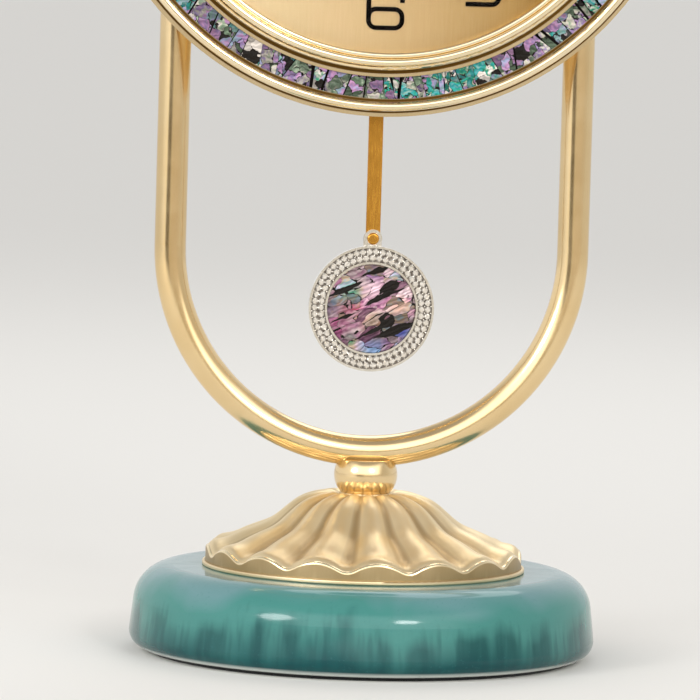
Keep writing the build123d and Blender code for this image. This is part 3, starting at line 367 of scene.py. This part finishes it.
def tealGlaze(look):
    low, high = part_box("ceramic_base")
    material, tree, principled, place = startMaterial("tealStonewareGlaze", {
        "IOR": 1.52, "Specular IOR Level": 0.36})
    upright = addNode(tree, "SeparateXYZ", {}, {"Vector": place})
    height = addNode(tree, "MapRange", {"From Min": low.z / mm, "From Max": high.z / mm},
                     {"Value": upright.outputs[2]})
    patches = addNode(tree, "TexNoise", {"Scale": 1 / look["patch"], "Detail": 2.0, "Distortion": 0.6},
                      {"Vector": place})
    pools = addNode(tree, "MapRange", {"From Min": 0.3, "From Max": 0.7, "To Min": -look["pool"],
                                       "To Max": look["pool"]}, {"Value": patches})
    # the colour is darker towards the foot and paler towards the top
    thickness = addNode(tree, "Math", {"operation": "ADD"}, {0: height, 1: pools})
    stops = [(0.05, look["deep"]), (0.55, look["mid"]), (0.75, look["mid"]), (1.0, look["pale"])]
    colour = addNode(tree, "ValToRGB", {"stops": stops}, {"Fac": thickness}).outputs[0]
    # painted reflections of dark things in the room, as runs broad and fine, each ending at its own height
    upward = addNode(tree, "Mapping", {"Scale": (1, 1, 0.1)}, {"Vector": place})
    for width, strength in look["paintedReflections"]:
        paintedReflections = addNode(tree, "TexNoise", {"Scale": 1 / width, "Detail": 1.0}, {"Vector": upward})
        reflectionStreaks = addNode(tree, "MapRange", {"From Min": 0.42, "From Max": 0.6, "To Max": strength},
                          {"Value": paintedReflections})
        ragged = addNode(tree, "Math", {"operation": "MULTIPLY_ADD", 1: -0.5},
                         {0: paintedReflections.outputs[1], 2: thickness})
        lower = addNode(tree, "MapRange", {"From Min": 0.42, "From Max": 0.2}, {"Value": ragged})
        reflectionMask = addNode(tree, "Math", {"operation": "MULTIPLY"}, {0: reflectionStreaks, 1: lower})
        colour = addNode(tree, "Mix", {"data_type": "RGBA", 7: hexColour(look["darkReflection"])},
                         {0: reflectionMask, 6: colour}).outputs[2]
    # painted reflection: a pale line at the foot where the glossy foot mirrors the pale floor
    glazed, bare = look["foot"]
    foot = addNode(tree, "MapRange", {"From Min": glazed, "From Max": bare, "To Max": 0.9}, {"Value": height})
    colours = addNode(tree, "Mix", {"data_type": "RGBA", 7: hexColour(look["footReflection"])}, {0: foot, 6: colour})
    specks = addNode(tree, "TexNoise", {"Scale": 1 / look["speck"], "Detail": 2.0}, {"Vector": place})
    dots = addNode(tree, "MapRange", {"From Min": 0.62, "From Max": 0.75, "To Min": 0.0, "To Max": 0.25},
                   {"Value": specks})
    flecked = addNode(tree, "Mix", {"data_type": "RGBA", 7: hexColour(look["fleck"])},
                      {0: dots, 6: colours.outputs[2]})
    waver = addNode(tree, "TexNoise", {"Scale": 1 / look["waver"], "Detail": 1.0}, {"Vector": place})
    relief = addNode(tree, "Bump", {"Strength": 0.12, "Distance": look["depth"]}, {"Height": waver})
    gloss = addNode(tree, "MapRange", {"To Min": 0.09, "To Max": 0.16}, {"Value": specks})
    linkUp(tree, principled, {"Base Color": flecked.outputs[2], "Normal": relief, "Roughness": gloss})
    return material


# Abalone shell, sliced thin, polished and lacquered: patches of nacre in drifting colours, cut by black
# growth lines. Lengths are in mm
def abaloneNacre(name, look, centre):
    lacquer = {"Coat Weight": 0.2, "Coat Roughness": 0.08, "Specular IOR Level": 0.2}
    material, tree, principled, place = startMaterial(name, lacquer, (0, look["turn"], 0), centre)
    chip = addNode(tree, "Attribute", {"attribute_name": "chip"})
    seed = addNode(tree, "Math", {"operation": "MULTIPLY", 1: 40.0}, {0: chip.outputs["Fac"]}).outputs[0]
    along = addNode(tree, "Mapping", {"Scale": (1 / look["stretch"], 1, 1)}, {"Vector": place}).outputs[0]
    wander = addNode(tree, "TexNoise", {"noise_dimensions": "4D", "Scale": 1 / look["wander"], "Detail": 2.0},
                     {"Vector": along, "W": seed})
    bent = addNode(tree, "VectorMath", {"operation": "MULTIPLY_ADD", 1: (look["bend"],) * 3},
                   {0: wander.outputs[1], 2: along}).outputs[0]
    cells = addNode(tree, "TexVoronoi", {"voronoi_dimensions": "4D", "Scale": 1 / look["cell"]},
                    {"Vector": bent, "W": seed})
    lot = addNode(tree, "SeparateColor", {}, {0: cells.outputs["Color"]})
    drift = addNode(tree, "TexNoise", {"noise_dimensions": "4D", "Scale": 1 / look["drift"], "Detail": 3.0},
                    {"Vector": bent, "W": seed})
    slide = addNode(tree, "MapRange", {"To Min": -look["blend"], "To Max": look["blend"]}, {"Value": drift})
    shared = addNode(tree, "MapRange", {"To Min": -look["shards"], "To Max": look["shards"]}, {"Value": lot})
    ground = addNode(tree, "MapRange", {"To Min": look["ground"][0], "To Max": look["ground"][1]},
                     {"Value": chip.outputs["Fac"]})
    mixed = addNode(tree, "Math", {"operation": "ADD"}, {0: shared, 1: ground})
    tone = addNode(tree, "Math", {"operation": "ADD"}, {0: mixed, 1: slide})
    colour = addNode(tree, "ValToRGB", {"stops": look["nacre"]}, {"Fac": tone}).outputs[0]
    for spot, reach, tint in look["spots"]:
        away = addNode(tree, "VectorMath", {"operation": "DISTANCE", 1: spot}, {0: place})
        near = addNode(tree, "MapRange", {"From Min": reach, "From Max": reach * 0.3, "To Max": 1.3},
                       {"Value": away.outputs[1]})
        patchy = addNode(tree, "Math", {"operation": "MULTIPLY", "use_clamp": True},
                         {0: near, 1: lot.outputs[1]})
        colour = addNode(tree, "Mix", {"data_type": "RGBA", 7: hexColour(tint)},
                         {0: patchy, 6: colour}).outputs[2]
    layers = addNode(tree, "TexWave", {"bands_direction": "Z", "Scale": waveUnit / look["layer"],
                                       "Distortion": 7.0, "Detail": 2.0}, {"Vector": bent})
    for source, low, high in ((layers.outputs[1], 1 - look["bands"], 1 + look["bands"]),
                              (lot.outputs[1], *look["shade"])):
        shade = addNode(tree, "MapRange", {"To Min": low, "To Max": high}, {"Value": source})
        colour = addNode(tree, "Mix", {"data_type": "RGBA", "blend_type": "MULTIPLY", 0: 1.0},
                         {6: colour, 7: shade}).outputs[2]
    borders = addNode(tree, "TexVoronoi", {"voronoi_dimensions": "4D", "feature": "DISTANCE_TO_EDGE",
                                           "Scale": 1 / look["cell"]}, {"Vector": bent, "W": seed})
    width = addNode(tree, "MapRange", {"From Min": 0.42, "From Max": 0.66, "To Min": 0.001,
                                       "To Max": look["line"]}, {"Value": drift})
    line = addNode(tree, "Math", {"operation": "LESS_THAN"}, {0: borders, 1: width})
    black = addNode(tree, "Math", {"operation": "GREATER_THAN", 1: 1 - look["black"]}, {0: lot.outputs[2]})
    gaps = addNode(tree, "Math", {"operation": "MAXIMUM"}, {0: line, 1: black})
    # a crack is a flat lens along the layers: from start to end, at a height, with a half width
    torn = addNode(tree, "VectorMath", {"operation": "MULTIPLY_ADD", 1: (look["tear"],) * 3},
                   {0: wander.outputs[1], 2: place})
    spread = addNode(tree, "SeparateXYZ", {}, {"Vector": torn})
    for start, end, height, half in look["cracks"]:
        middle, reach = (start + end + look["tear"]) / 2, (end - start) / 2
        off = addNode(tree, "Math", {"operation": "SUBTRACT", 1: middle}, {0: spread})
        share = addNode(tree, "Math", {"operation": "DIVIDE", 1: reach}, {0: off})
        square = addNode(tree, "Math", {"operation": "MULTIPLY"}, {0: share, 1: share})
        lens = addNode(tree, "MapRange", {"To Min": half, "To Max": 0.0}, {"Value": square})
        apart = addNode(tree, "Math", {"operation": "SUBTRACT", 1: height + look["tear"] / 2},
                        {0: spread.outputs[2]})
        deep = addNode(tree, "Math", {"operation": "ABSOLUTE"}, {0: apart})
        crack = addNode(tree, "Math", {"operation": "LESS_THAN"}, {0: deep, 1: lens})
        gaps = addNode(tree, "Math", {"operation": "MAXIMUM"}, {0: gaps, 1: crack})
    veined = addNode(tree, "Mix", {"data_type": "RGBA", 7: hexColour(look["resin"])}, {0: gaps, 6: colour})
    gloss = addNode(tree, "MapRange", {"To Min": 0.14, "To Max": 0.32}, {"Value": layers.outputs[1]})
    linkUp(tree, principled, {"Base Color": veined.outputs[2], "Roughness": gloss})
    return material


ringLook = {
    "turn": 0, "stretch": 1.0, "wander": 2.6, "bend": 4.0, "cell": 3.4, "drift": 1.8, "blend": 0.4,
    "layer": 1.776, "shards": 0.34, "ground": (0.02, 0.98), "line": 0.05, "black": 0.07,
    "shade": (0.42, 1.22), "bands": 0.2, "resin": "#15110F", "spots": [], "tear": 1.0, "cracks": [],
    "nacre": [(0.0, "#4E5F4C"), (0.12, "#7B8E78"), (0.24, "#B9B2A4"), (0.36, "#7C6A96"), (0.48, "#B183A8"),
              (0.58, "#8C93B4"), (0.7, "#7C9C92"), (0.8, "#2C8C92"), (0.9, "#1E8560"), (1.0, "#CFC6BE")]}
bobLook = {
    "turn": 24, "stretch": 1.9, "wander": 3.0, "bend": 3.4, "cell": 3.1, "drift": 1.4, "blend": 0.45,
    "layer": 1.381, "shards": 0.4, "ground": (0.5, 0.5), "line": 0.045, "black": 0.06, "shade": (0.36, 1.4),
    "bands": 0.26, "resin": "#15110F", "tear": 3.4,
    "cracks": [(-12, 1, 9.0, 1.0), (0, 12, 10.6, 0.7), (-2, 13, 1.8, 0.8),
               (-3, 12, -9.4, 1.6), (-14, -5, 1.2, 0.5), (-9, 3, -6.8, 0.4)],
    "spots": [((-4.5, 0, 7), 4.5, "#2A9070"), ((-6.5, 0, 2.5), 5.0, "#A8385C"),
              ((-11, 0, -1), 5.0, "#94456A"), ((-4, 0, -12), 6.0, "#6C92BC"),
              ((-1, 0, -5.5), 6.0, "#AA8E58"), ((5, 0, 10), 4.0, "#6A4A86"),
              ((-12, 0, 5.5), 4.0, "#4E3568"), ((8, 0, -3.5), 5.0, "#CBA496"),
              ((-10, 0, -6), 3.0, "#2E8A62"), ((3, 0, 5), 5.0, "#D6B4C0"),
              ((6, 0, -9.5), 6.0, "#3F4482")],
    "nacre": [(0.0, "#5A3350"), (0.16, "#8C5877"), (0.32, "#B98C9F"), (0.48, "#CDB6B9"), (0.62, "#9B838C"),
              (0.74, "#A98F74"), (0.86, "#7C939B"), (1.0, "#B5A2BC")]}


ringAbalone = abaloneNacre("abaloneChips", ringLook, middleOf("shell_ring"))
bobAbalone = abaloneNacre("abaloneSlice", bobLook, middleOf("bob_inlay"))
glaze = tealGlaze(tealLook)
slotFinish = {
    "gold": polishedGold, "satin_gold": satinGold, "dial_gold": dialGold(dialLook), "rod_brass": rodBrass,
    "bob_silver": bobSilver, "crystal": cutCrystal, "shell": bobAbalone, "glaze": glaze, "felt": blackFelt,
    "glass": clearGlass, "black_paint": blackLacquer, "steel": brightSteel, "zinc": castZinc,
    "brass": turnedBrass, "black_plastic": blackAbs, "white_plastic": whiteAcetal, "rubber": blackRubber,
    "copper_wire": woundCopper(coilLook), "board": boardLaminate(boardLook), "cell_wrap": cellSleeve()}
for part in frame["record"]["subparts"]:
    shown = frame["nodes"][part["node"]]
    shown.data.materials.clear()
    shown.data.materials.append(slotFinish[part["material_slot"]])
bezelPlate = bandedGold("goldPlatePaintedGrooveShade", bezelLook, middleOf("bezel"))
domePlate = bandedGold("satinGoldCasting", domeLook, middleOf("fluted_dome"))
for node, finish in (("bezel", bezelPlate), ("glass_bezel", bezelPlate), ("fluted_dome", domePlate),
                     ("back_plate", spunGold(spunLook))):
    frame["nodes"][node].data.materials[0] = finish
print("materials made:", len(slotFinish))


def vertsIn(geometry):
    return [v for v in geometry if isinstance(v, bmesh.types.BMVert)]


# a finished bmesh becomes a piece at the origin that rides on its body; edges over sharp degrees stay crisp
def makePiece(bm, name, body, materials, replaced=(), sharp=40):
    bmesh.ops.remove_doubles(bm, verts=bm.verts, dist=0.002 * mm)
    bmesh.ops.recalc_face_normals(bm, faces=bm.faces)
    for face in bm.faces:
        face.smooth = sharp > 0
    for edge in bm.edges:
        if len(edge.link_faces) == 2 and edge.calc_face_angle(0) > math.radians(sharp):
            edge.smooth = False
    mesh = bpy.data.meshes.new(name)
    bm.to_mesh(mesh)
    bm.free()
    for material in materials:
        mesh.materials.append(material)
    piece = bpy.data.objects.new(name, mesh)
    bpy.context.scene.collection.objects.link(piece)
    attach(piece, body)
    if replaced:
        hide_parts(*replaced)


# abalone chips laid round the bezel in black resin, each of its own length, slant, gap and height
chips = {"count": 104, "parts": 3, "width": 6.8 * mm, "lengths": (0.45, 1.6), "slant": 1.6, "lift": 0.16 * mm,
         "gaps": [gap * 0.2 * mm for gap in (0.3, 0.6, 1.0, 1.8, 3.4)], "seed": 11}


def layChips(look):
    low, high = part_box("shell_ring")
    centre = (low + high) / 2
    outer = (high.x - low.x) / 2
    inner = outer - look["width"]
    draw = random.Random(look["seed"])
    lengths = [draw.uniform(*look["lengths"]) for k in range(look["count"])]
    whole = sum(lengths)
    bm = bmesh.new()
    tone = bm.faces.layers.float.new("chip")
    ends = [bm.verts.new((radius, low.y, centre.z)) for radius in (inner, outer)]
    front = bm.edges.new(ends)
    for length in lengths:
        made = bmesh.ops.spin(bm, geom=[*front.verts, front], cent=(0, 0, centre.z), axis=yAxis,
                              angle=2 * math.pi * length / whole, steps=look["parts"])
        front = [e for e in made["geom_last"] if isinstance(e, bmesh.types.BMEdge)][0]
    bmesh.ops.remove_doubles(bm, verts=bm.verts, dist=0.01 * mm)
    bm.faces.ensure_lookup_table()
    faceLists = [bm.faces[k * look["parts"]:(k + 1) * look["parts"]] for k in range(look["count"])]
    for faces in faceLists:
        border = [v for v in faces[0].verts if v not in faces[1].verts]
        outside = max(border, key=lambda v: math.hypot(v.co.x, v.co.z - centre.z))
        turn = Matrix.Rotation(math.radians(draw.uniform(-look["slant"], look["slant"])), 3, "Y")
        bmesh.ops.rotate(bm, verts=[outside], cent=(0, 0, centre.z), matrix=turn)
    bed = []
    for faces in faceLists:
        gap = draw.choice(look["gaps"])
        bed += bmesh.ops.inset_region(bm, faces=faces, thickness=gap, use_even_offset=True)["faces"]
        value = draw.random()
        for face in faces:
            face[tone] = value
        bmesh.ops.translate(bm, verts=list({v for f in faces for v in f.verts}),
                            vec=(0, -look["lift"] * draw.uniform(0.5, 1.0), 0))
    for face in bed:
        face.material_index = 1
    edges = [e for e in bm.edges if len(e.link_faces) == 1]
    walls = bmesh.ops.extrude_edge_only(bm, edges=edges)["geom"]
    bmesh.ops.translate(bm, verts=vertsIn(walls), vec=(0, high.y - low.y, 0))
    loops = [e for e in walls if isinstance(e, bmesh.types.BMEdge) and len(e.link_faces) == 1]
    under = bmesh.ops.bridge_loops(bm, edges=loops)["faces"]
    for face in under + [f for f in walls if isinstance(f, bmesh.types.BMFace)]:
        face.material_index = 1
    makePiece(bm, "abalone_ring", "clock_body", [ringAbalone, blackLacquer], ["shell_ring"], 30)


layChips(chips)
print("abalone ring laid")

# cut stones in two rows round the bob, with a grain of metal between each four
stones = {"radius": 1.06 * mm, "table": 0.56, "girdle": 0.42 * mm, "height": 1.2 * mm, "sides": 8,
          "spacing": 2.1 * mm, "width": 5.8 * mm, "lip": 0.7 * mm, "bed": 0.06 * mm, "seed": 5,
          "grain": 0.27 * mm, "grainStep": 0.92, "grainRows": ((-1, 46), (0, 51), (1, 56))}


def setStones(look):
    low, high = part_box("bob_crystals")
    outer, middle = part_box("bob_rim")[1].x, (low + high) / 2
    draw = random.Random(look["seed"])
    gems, grains = bmesh.new(), bmesh.new()
    for row in (-1, 1):
        radius = outer - look["width"] / 2 + row * look["spacing"] / 2
        count = int(2 * math.pi * radius / look["spacing"])
        for k in range(count):
            angle = 2 * math.pi * k / count
            spot = Vector((radius * math.cos(angle), high.y, middle.z + radius * math.sin(angle)))
            spun = Matrix.Translation(spot) @ Matrix.Rotation(math.radians(90), 4, "X") @ Matrix.Rotation(
                draw.uniform(0, math.pi), 4, "Z")
            crown = look["height"] - look["girdle"]
            made = bmesh.ops.create_cone(gems, cap_ends=True, segments=look["sides"], radius1=look["radius"],
                                         radius2=look["radius"] * look["table"], depth=crown,
                                         matrix=spun @ Matrix.Translation((0, 0, look["girdle"] + crown / 2)))
            base = [v for v in made["verts"] if v.co.y > high.y - look["girdle"] - 0.01 * mm]
            foot = [f for f in base[0].link_faces if all(v in base for v in f.verts)]
            pushed = bmesh.ops.extrude_face_region(gems, geom=foot)["geom"]
            bmesh.ops.translate(gems, verts=vertsIn(pushed), vec=(0, look["girdle"], 0))
            bmesh.ops.delete(gems, geom=foot, context="FACES_ONLY")
    level = high.y - look["girdle"]
    for side, count in look["grainRows"]:
        radius = outer - look["width"] / 2 + side * look["spacing"] * look["grainStep"]
        for k in range(count):
            angle = 2 * math.pi * (k + 0.5) / count
            spot = Vector((radius * math.cos(angle), level, middle.z + radius * math.sin(angle)))
            bmesh.ops.create_icosphere(grains, subdivisions=1, radius=look["grain"],
                                       matrix=Matrix.Translation(spot))
    makePiece(gems, "bob_stones", "pendulum_body", [cutCrystal], ["bob_crystals"], 0)
    # the channel under the stones is dark grey painted shade, so that the gaps between them read as dark dots
    bed = bmesh.new()
    outside, inside = outer - look["lip"], outer - look["width"] + look["lip"]
    section = [(outside, 0), (outside, look["bed"]), (inside, look["bed"]), (inside, 0)]
    corners = [bed.verts.new((radius, high.y - rise, middle.z)) for radius, rise in section]
    loop = [bed.edges.new((corners[k - 1], corners[k])) for k in range(4)]
    bmesh.ops.spin(bed, geom=corners + loop, cent=(0, 0, middle.z), axis=yAxis, angle=2 * math.pi, steps=96,
                   use_merge=True)
    makePiece(bed, "bob_channel", "pendulum_body", [shadeSilver])
    makePiece(grains, "bob_grains", "pendulum_body", [bobSilver])


setStones(stones)
print("stones set")

# pan-head screws in the back plate, each with a cross recess at its own angle
screws = {"count": 6, "start": 30, "sides": 24, "head": 2.3 * mm, "shank": 1.25 * mm, "rise": 1.6 * mm,
          "rounding": 0.45 * mm, "cross": (0.28 * mm, 1.15 * mm), "sink": 0.7 * mm, "taper": 0.55, "seed": 3}


def cutScrew(look):
    bm = bmesh.new()
    bmesh.ops.create_cone(bm, cap_ends=True, segments=look["sides"], radius1=look["head"],
                          radius2=look["head"], depth=look["rise"],
                          matrix=Matrix.Translation((0, 0, look["rise"] / 2)))
    rim = [e for e in bm.edges if all(v.co.z > look["rise"] / 2 for v in e.verts)]
    bmesh.ops.bevel(bm, geom=rim, offset=look["rounding"], affect="EDGES", segments=4, profile=0.5,
                    material=-1)
    narrow, long = look["cross"]
    for normal in ((1, 0, 0), (0, 1, 0)):
        for offset in (-long, -narrow, narrow, long):
            top = [f for f in bm.faces if f.normal.z > 0.99]
            cut = {g for f in top for g in (f, *f.edges, *f.verts)}
            bmesh.ops.bisect_plane(bm, geom=list(cut), plane_co=[offset * n for n in normal], plane_no=normal)
    cross = []
    for face in bm.faces:
        middle = face.calc_center_median()
        near, far = sorted((abs(middle.x), abs(middle.y)))
        if face.normal.z > 0.99 and near < narrow and far < long:
            cross.append(face)
    sunk = vertsIn(bmesh.ops.extrude_face_region(bm, geom=cross)["geom"])
    bmesh.ops.delete(bm, geom=cross, context="FACES_ONLY")
    bmesh.ops.scale(bm, verts=sunk, vec=(look["taper"], look["taper"], 1))
    bmesh.ops.translate(bm, verts=sunk, vec=(0, 0, -look["sink"]))
    return bm


def driveScrews(look):
    low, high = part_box("back_screws")
    middle, ring = (low + high) / 2, (high.x - low.x) / 2 - look["head"]
    draw = random.Random(look["seed"])
    pattern = bpy.data.meshes.new("pattern")
    one = cutScrew(look)
    under = [f for f in one.faces if f.normal.z < -0.99]
    bmesh.ops.inset_region(one, faces=under, thickness=look["head"] - look["shank"])
    shank = vertsIn(bmesh.ops.extrude_face_region(one, geom=under)["geom"])
    bmesh.ops.delete(one, geom=under, context="FACES_ONLY")
    bmesh.ops.translate(one, verts=shank, vec=(0, 0, look["rise"] - (high.y - low.y)))
    one.to_mesh(pattern)
    one.free()
    bm = bmesh.new()
    for k in range(look["count"]):
        angle = math.radians(look["start"] + 360 * k / look["count"])
        seat = Vector((ring * math.sin(angle), high.y - look["rise"], middle.z + ring * math.cos(angle)))
        known = set(bm.verts)
        bm.from_mesh(pattern)
        place = Matrix.Translation(seat) @ Matrix.Rotation(math.radians(-90), 4, "X") @ Matrix.Rotation(
            draw.uniform(0, math.pi), 4, "Z")
        bmesh.ops.transform(bm, matrix=place, verts=[v for v in bm.verts if v not in known])
    bpy.data.meshes.remove(pattern)
    makePiece(bm, "cross_screws", "clock_body", [brightSteel], ["back_screws"], 30)


driveScrews(screws)
print("back screws driven")

# Mat paper for a plain pale floor: no shine and hardly any grain. The apron, the part more than 0.9 m in
# front of the clock, is left out of mirror images, so that the polished legs mirror the room there
floorLook = {"half": 20.0, "colour": "#ECEAE6", "shade": "#EAE8E4", "fibre": 0.8,
             "parts": {"floor": (-0.9, 40.0), "apron": (-40.0, -0.9)}}


def layFloor(look):
    material, tree, principled, place = startMaterial("matPaper", {"Roughness": 0.9})
    fibres = addNode(tree, "TexNoise", {"Scale": 1 / look["fibre"], "Detail": 1.0}, {"Vector": place})
    colours = addNode(tree, "ValToRGB", {"stops": [(0.3, look["shade"]), (0.7, look["colour"])]},
                      {"Fac": fibres})
    linkUp(tree, principled, {"Base Color": colours})
    for name, (front, back) in look["parts"].items():
        bm = bmesh.new()
        edge = bm.edges.new([bm.verts.new((side * look["half"], front, 0)) for side in (-1, 1)])
        swept = bmesh.ops.extrude_edge_only(bm, edges=[edge])["geom"]
        bmesh.ops.translate(bm, verts=vertsIn(swept), vec=(0, back - front, 0))
        bmesh.ops.recalc_face_normals(bm, faces=bm.faces)
        mesh = bpy.data.meshes.new(name)
        bm.to_mesh(mesh)
        bm.free()
        mesh.materials.append(material)
        sheet = bpy.data.objects.new(name, mesh)
        bpy.context.scene.collection.objects.link(sheet)
        sheet.visible_glossy = name == "floor"


layFloor(floorLook)
print("floor laid")

# studio: a pale room with one dark flag left of the camera, so that polished metal has an edge to mirror
# a wall is its bearing in degrees, level of light and warmth; the other pairs are heights on the unit sphere
room = {"ring": [(-180, 0.85, 0), (-105, 0.95, 0), (-70, 1.0, 0), (-46, 0.95, 0.2), (-36, 0.1, 1.5),
                 (-20, 0.1, 1.5), (-10, 0.55, 0.8), (30, 0.56, 0.8), (70, 0.62, 0.4), (110, 0.8, 0),
                 (180, 0.85, 0)],
        "white": 1.2, "ceiling": 0.45, "raised": (0.45, 0.85), "above": 2.0, "below": 0.6, "side": 0.8,
        "edge": 0.2, "gap": (0.06, 0.13), "under": (-0.13, -0.2), "top": (0.76, 0.6)}


# a level of light as a colour, where white stands for 1.2; warm tips it from grey towards amber
def roomTone(level, warm=0.0):
    channels = []
    for tip in (0.06, -0.08, -0.3):
        share = min(1, level * (1 + tip * warm) / room["white"])
        channels.append(round(255 * (1.055 * share ** (1 / 2.4) - 0.055)))
    return "#" + "".join(f"{c:02X}" for c in channels)


def lightRoom(look):
    world = bpy.data.worlds.new("studio")
    world.use_nodes = True
    bpy.context.scene.world = world
    tree = world.node_tree
    tree.nodes.clear()
    way = addNode(tree, "SeparateXYZ", {}, {"Vector": addNode(tree, "TexCoord").outputs["Generated"]})
    toward = addNode(tree, "Math", {"operation": "MULTIPLY", 1: -1.0}, {0: way.outputs[1]})
    bearing = addNode(tree, "Math", {"operation": "ARCTAN2"}, {0: way, 1: toward})
    share = addNode(tree, "MapRange", {"From Min": -math.pi, "From Max": math.pi}, {"Value": bearing})
    stops = [((angle + 180) / 360, roomTone(*tone)) for angle, *tone in look["ring"]]
    walls = addNode(tree, "ValToRGB", {"stops": stops}, {"Fac": share})
    walls.color_ramp.interpolation = "EASE"
    start, full = look["raised"]
    raised = addNode(tree, "MapRange", {"From Min": start, "From Max": full}, {"Value": way.outputs[2]})
    capped = addNode(tree, "Mix", {"data_type": "RGBA", 7: hexColour(roomTone(look["ceiling"]))},
                     {0: raised, 6: walls})
    # broad soft panels in front, above and below the camera, give the rounded metal its wide pale crest
    side, edge = look["side"], look["edge"]
    limits = [(way, side, side - edge), (way, -side, edge - side), (toward, 0.0, edge),
              (way.outputs[2], *look["top"])]
    front = [addNode(tree, "MapRange", {"From Min": low, "From Max": high}, {"Value": source})
             for source, low, high in limits]
    above, below = (addNode(tree, "MapRange", {"From Min": look[k][0], "From Max": look[k][1]},
                            {"Value": way.outputs[2]}) for k in ("gap", "under"))
    level = addNode(tree, "MapRange", {"From Min": -0.02, "From Max": 0.02, "To Min": look["below"],
                                       "To Max": look["above"]}, {"Value": way.outputs[2]})
    lit = addNode(tree, "Math", {"operation": "MAXIMUM"}, {0: above, 1: below})
    for limit in front:
        lit = addNode(tree, "Math", {"operation": "MULTIPLY"}, {0: lit, 1: limit})
    base = addNode(tree, "Background", {"Strength": look["white"]}, {"Color": capped.outputs[2]})
    panel = addNode(tree, "Background", {"Color": hexColour("#FFFFFF")}, {"Strength": level})
    glow = addNode(tree, "MixShader", {}, {0: lit, 1: base, 2: panel})
    addNode(tree, "OutputWorld", {}, {"Surface": glow})


lightRoom(room)
# a lamp is its place, width and power; all point at the middle of the clock
lamps = {"key": ((-0.95, -0.8, 0.55), 0.4, 4.5), "fill": ((0.6, -1.85, 0.9), 0.4, 7.0),
         "rear": ((0.3, 1.0, 1.3), 1.0, 4.0)}
lampTarget = Vector((0, 0, 0.18))
for name, (spot, size, power) in lamps.items():
    data = bpy.data.lights.new(name, "AREA")
    data.shape, data.size, data.energy = "DISK", size, power
    lamp = bpy.data.objects.new(name, data)
    lamp.location = spot
    lamp.rotation_euler = (lampTarget - Vector(spot)).to_track_quat("-Z", "Y").to_euler()
    bpy.context.scene.collection.objects.link(lamp)

# camera where the photograph was taken from, for an image 700 pixels wide
shot = {"target": Vector((-6.15, 0, 97.07)) * mm, "distance": 1.8, "yaw": 5.34, "pitch": 4.26, "roll": 1.63,
        "focalPixels": 5646, "imagePixels": 700, "sensor": 36}


def placeCamera(look):
    yaw, pitch, roll = (math.radians(look[k]) for k in ("yaw", "pitch", "roll"))
    ahead = Vector((math.sin(yaw) * math.cos(pitch), math.cos(yaw) * math.cos(pitch), -math.sin(pitch)))
    right = ahead.cross(Vector((0, 0, 1))).normalized()
    up = right.cross(ahead)
    rolled = math.cos(roll) * right + math.sin(roll) * up
    top = math.cos(roll) * up - math.sin(roll) * right
    camera = bpy.data.objects.new("camera", bpy.data.cameras.new("camera"))
    camera.data.sensor_width = look["sensor"]
    camera.data.lens = look["sensor"] * look["focalPixels"] / look["imagePixels"]
    camera.data.clip_end = 200
    spot = look["target"] - look["distance"] * ahead
    camera.matrix_world = Matrix.Translation(spot) @ Matrix((rolled, top, -ahead)).transposed().to_4x4()
    bpy.context.scene.collection.objects.link(camera)
    bpy.context.scene.camera = camera


placeCamera(shot)
print("room lit, camera placed")
bpy.context.scene.view_settings.view_transform = "Standard"
print("scene ready")
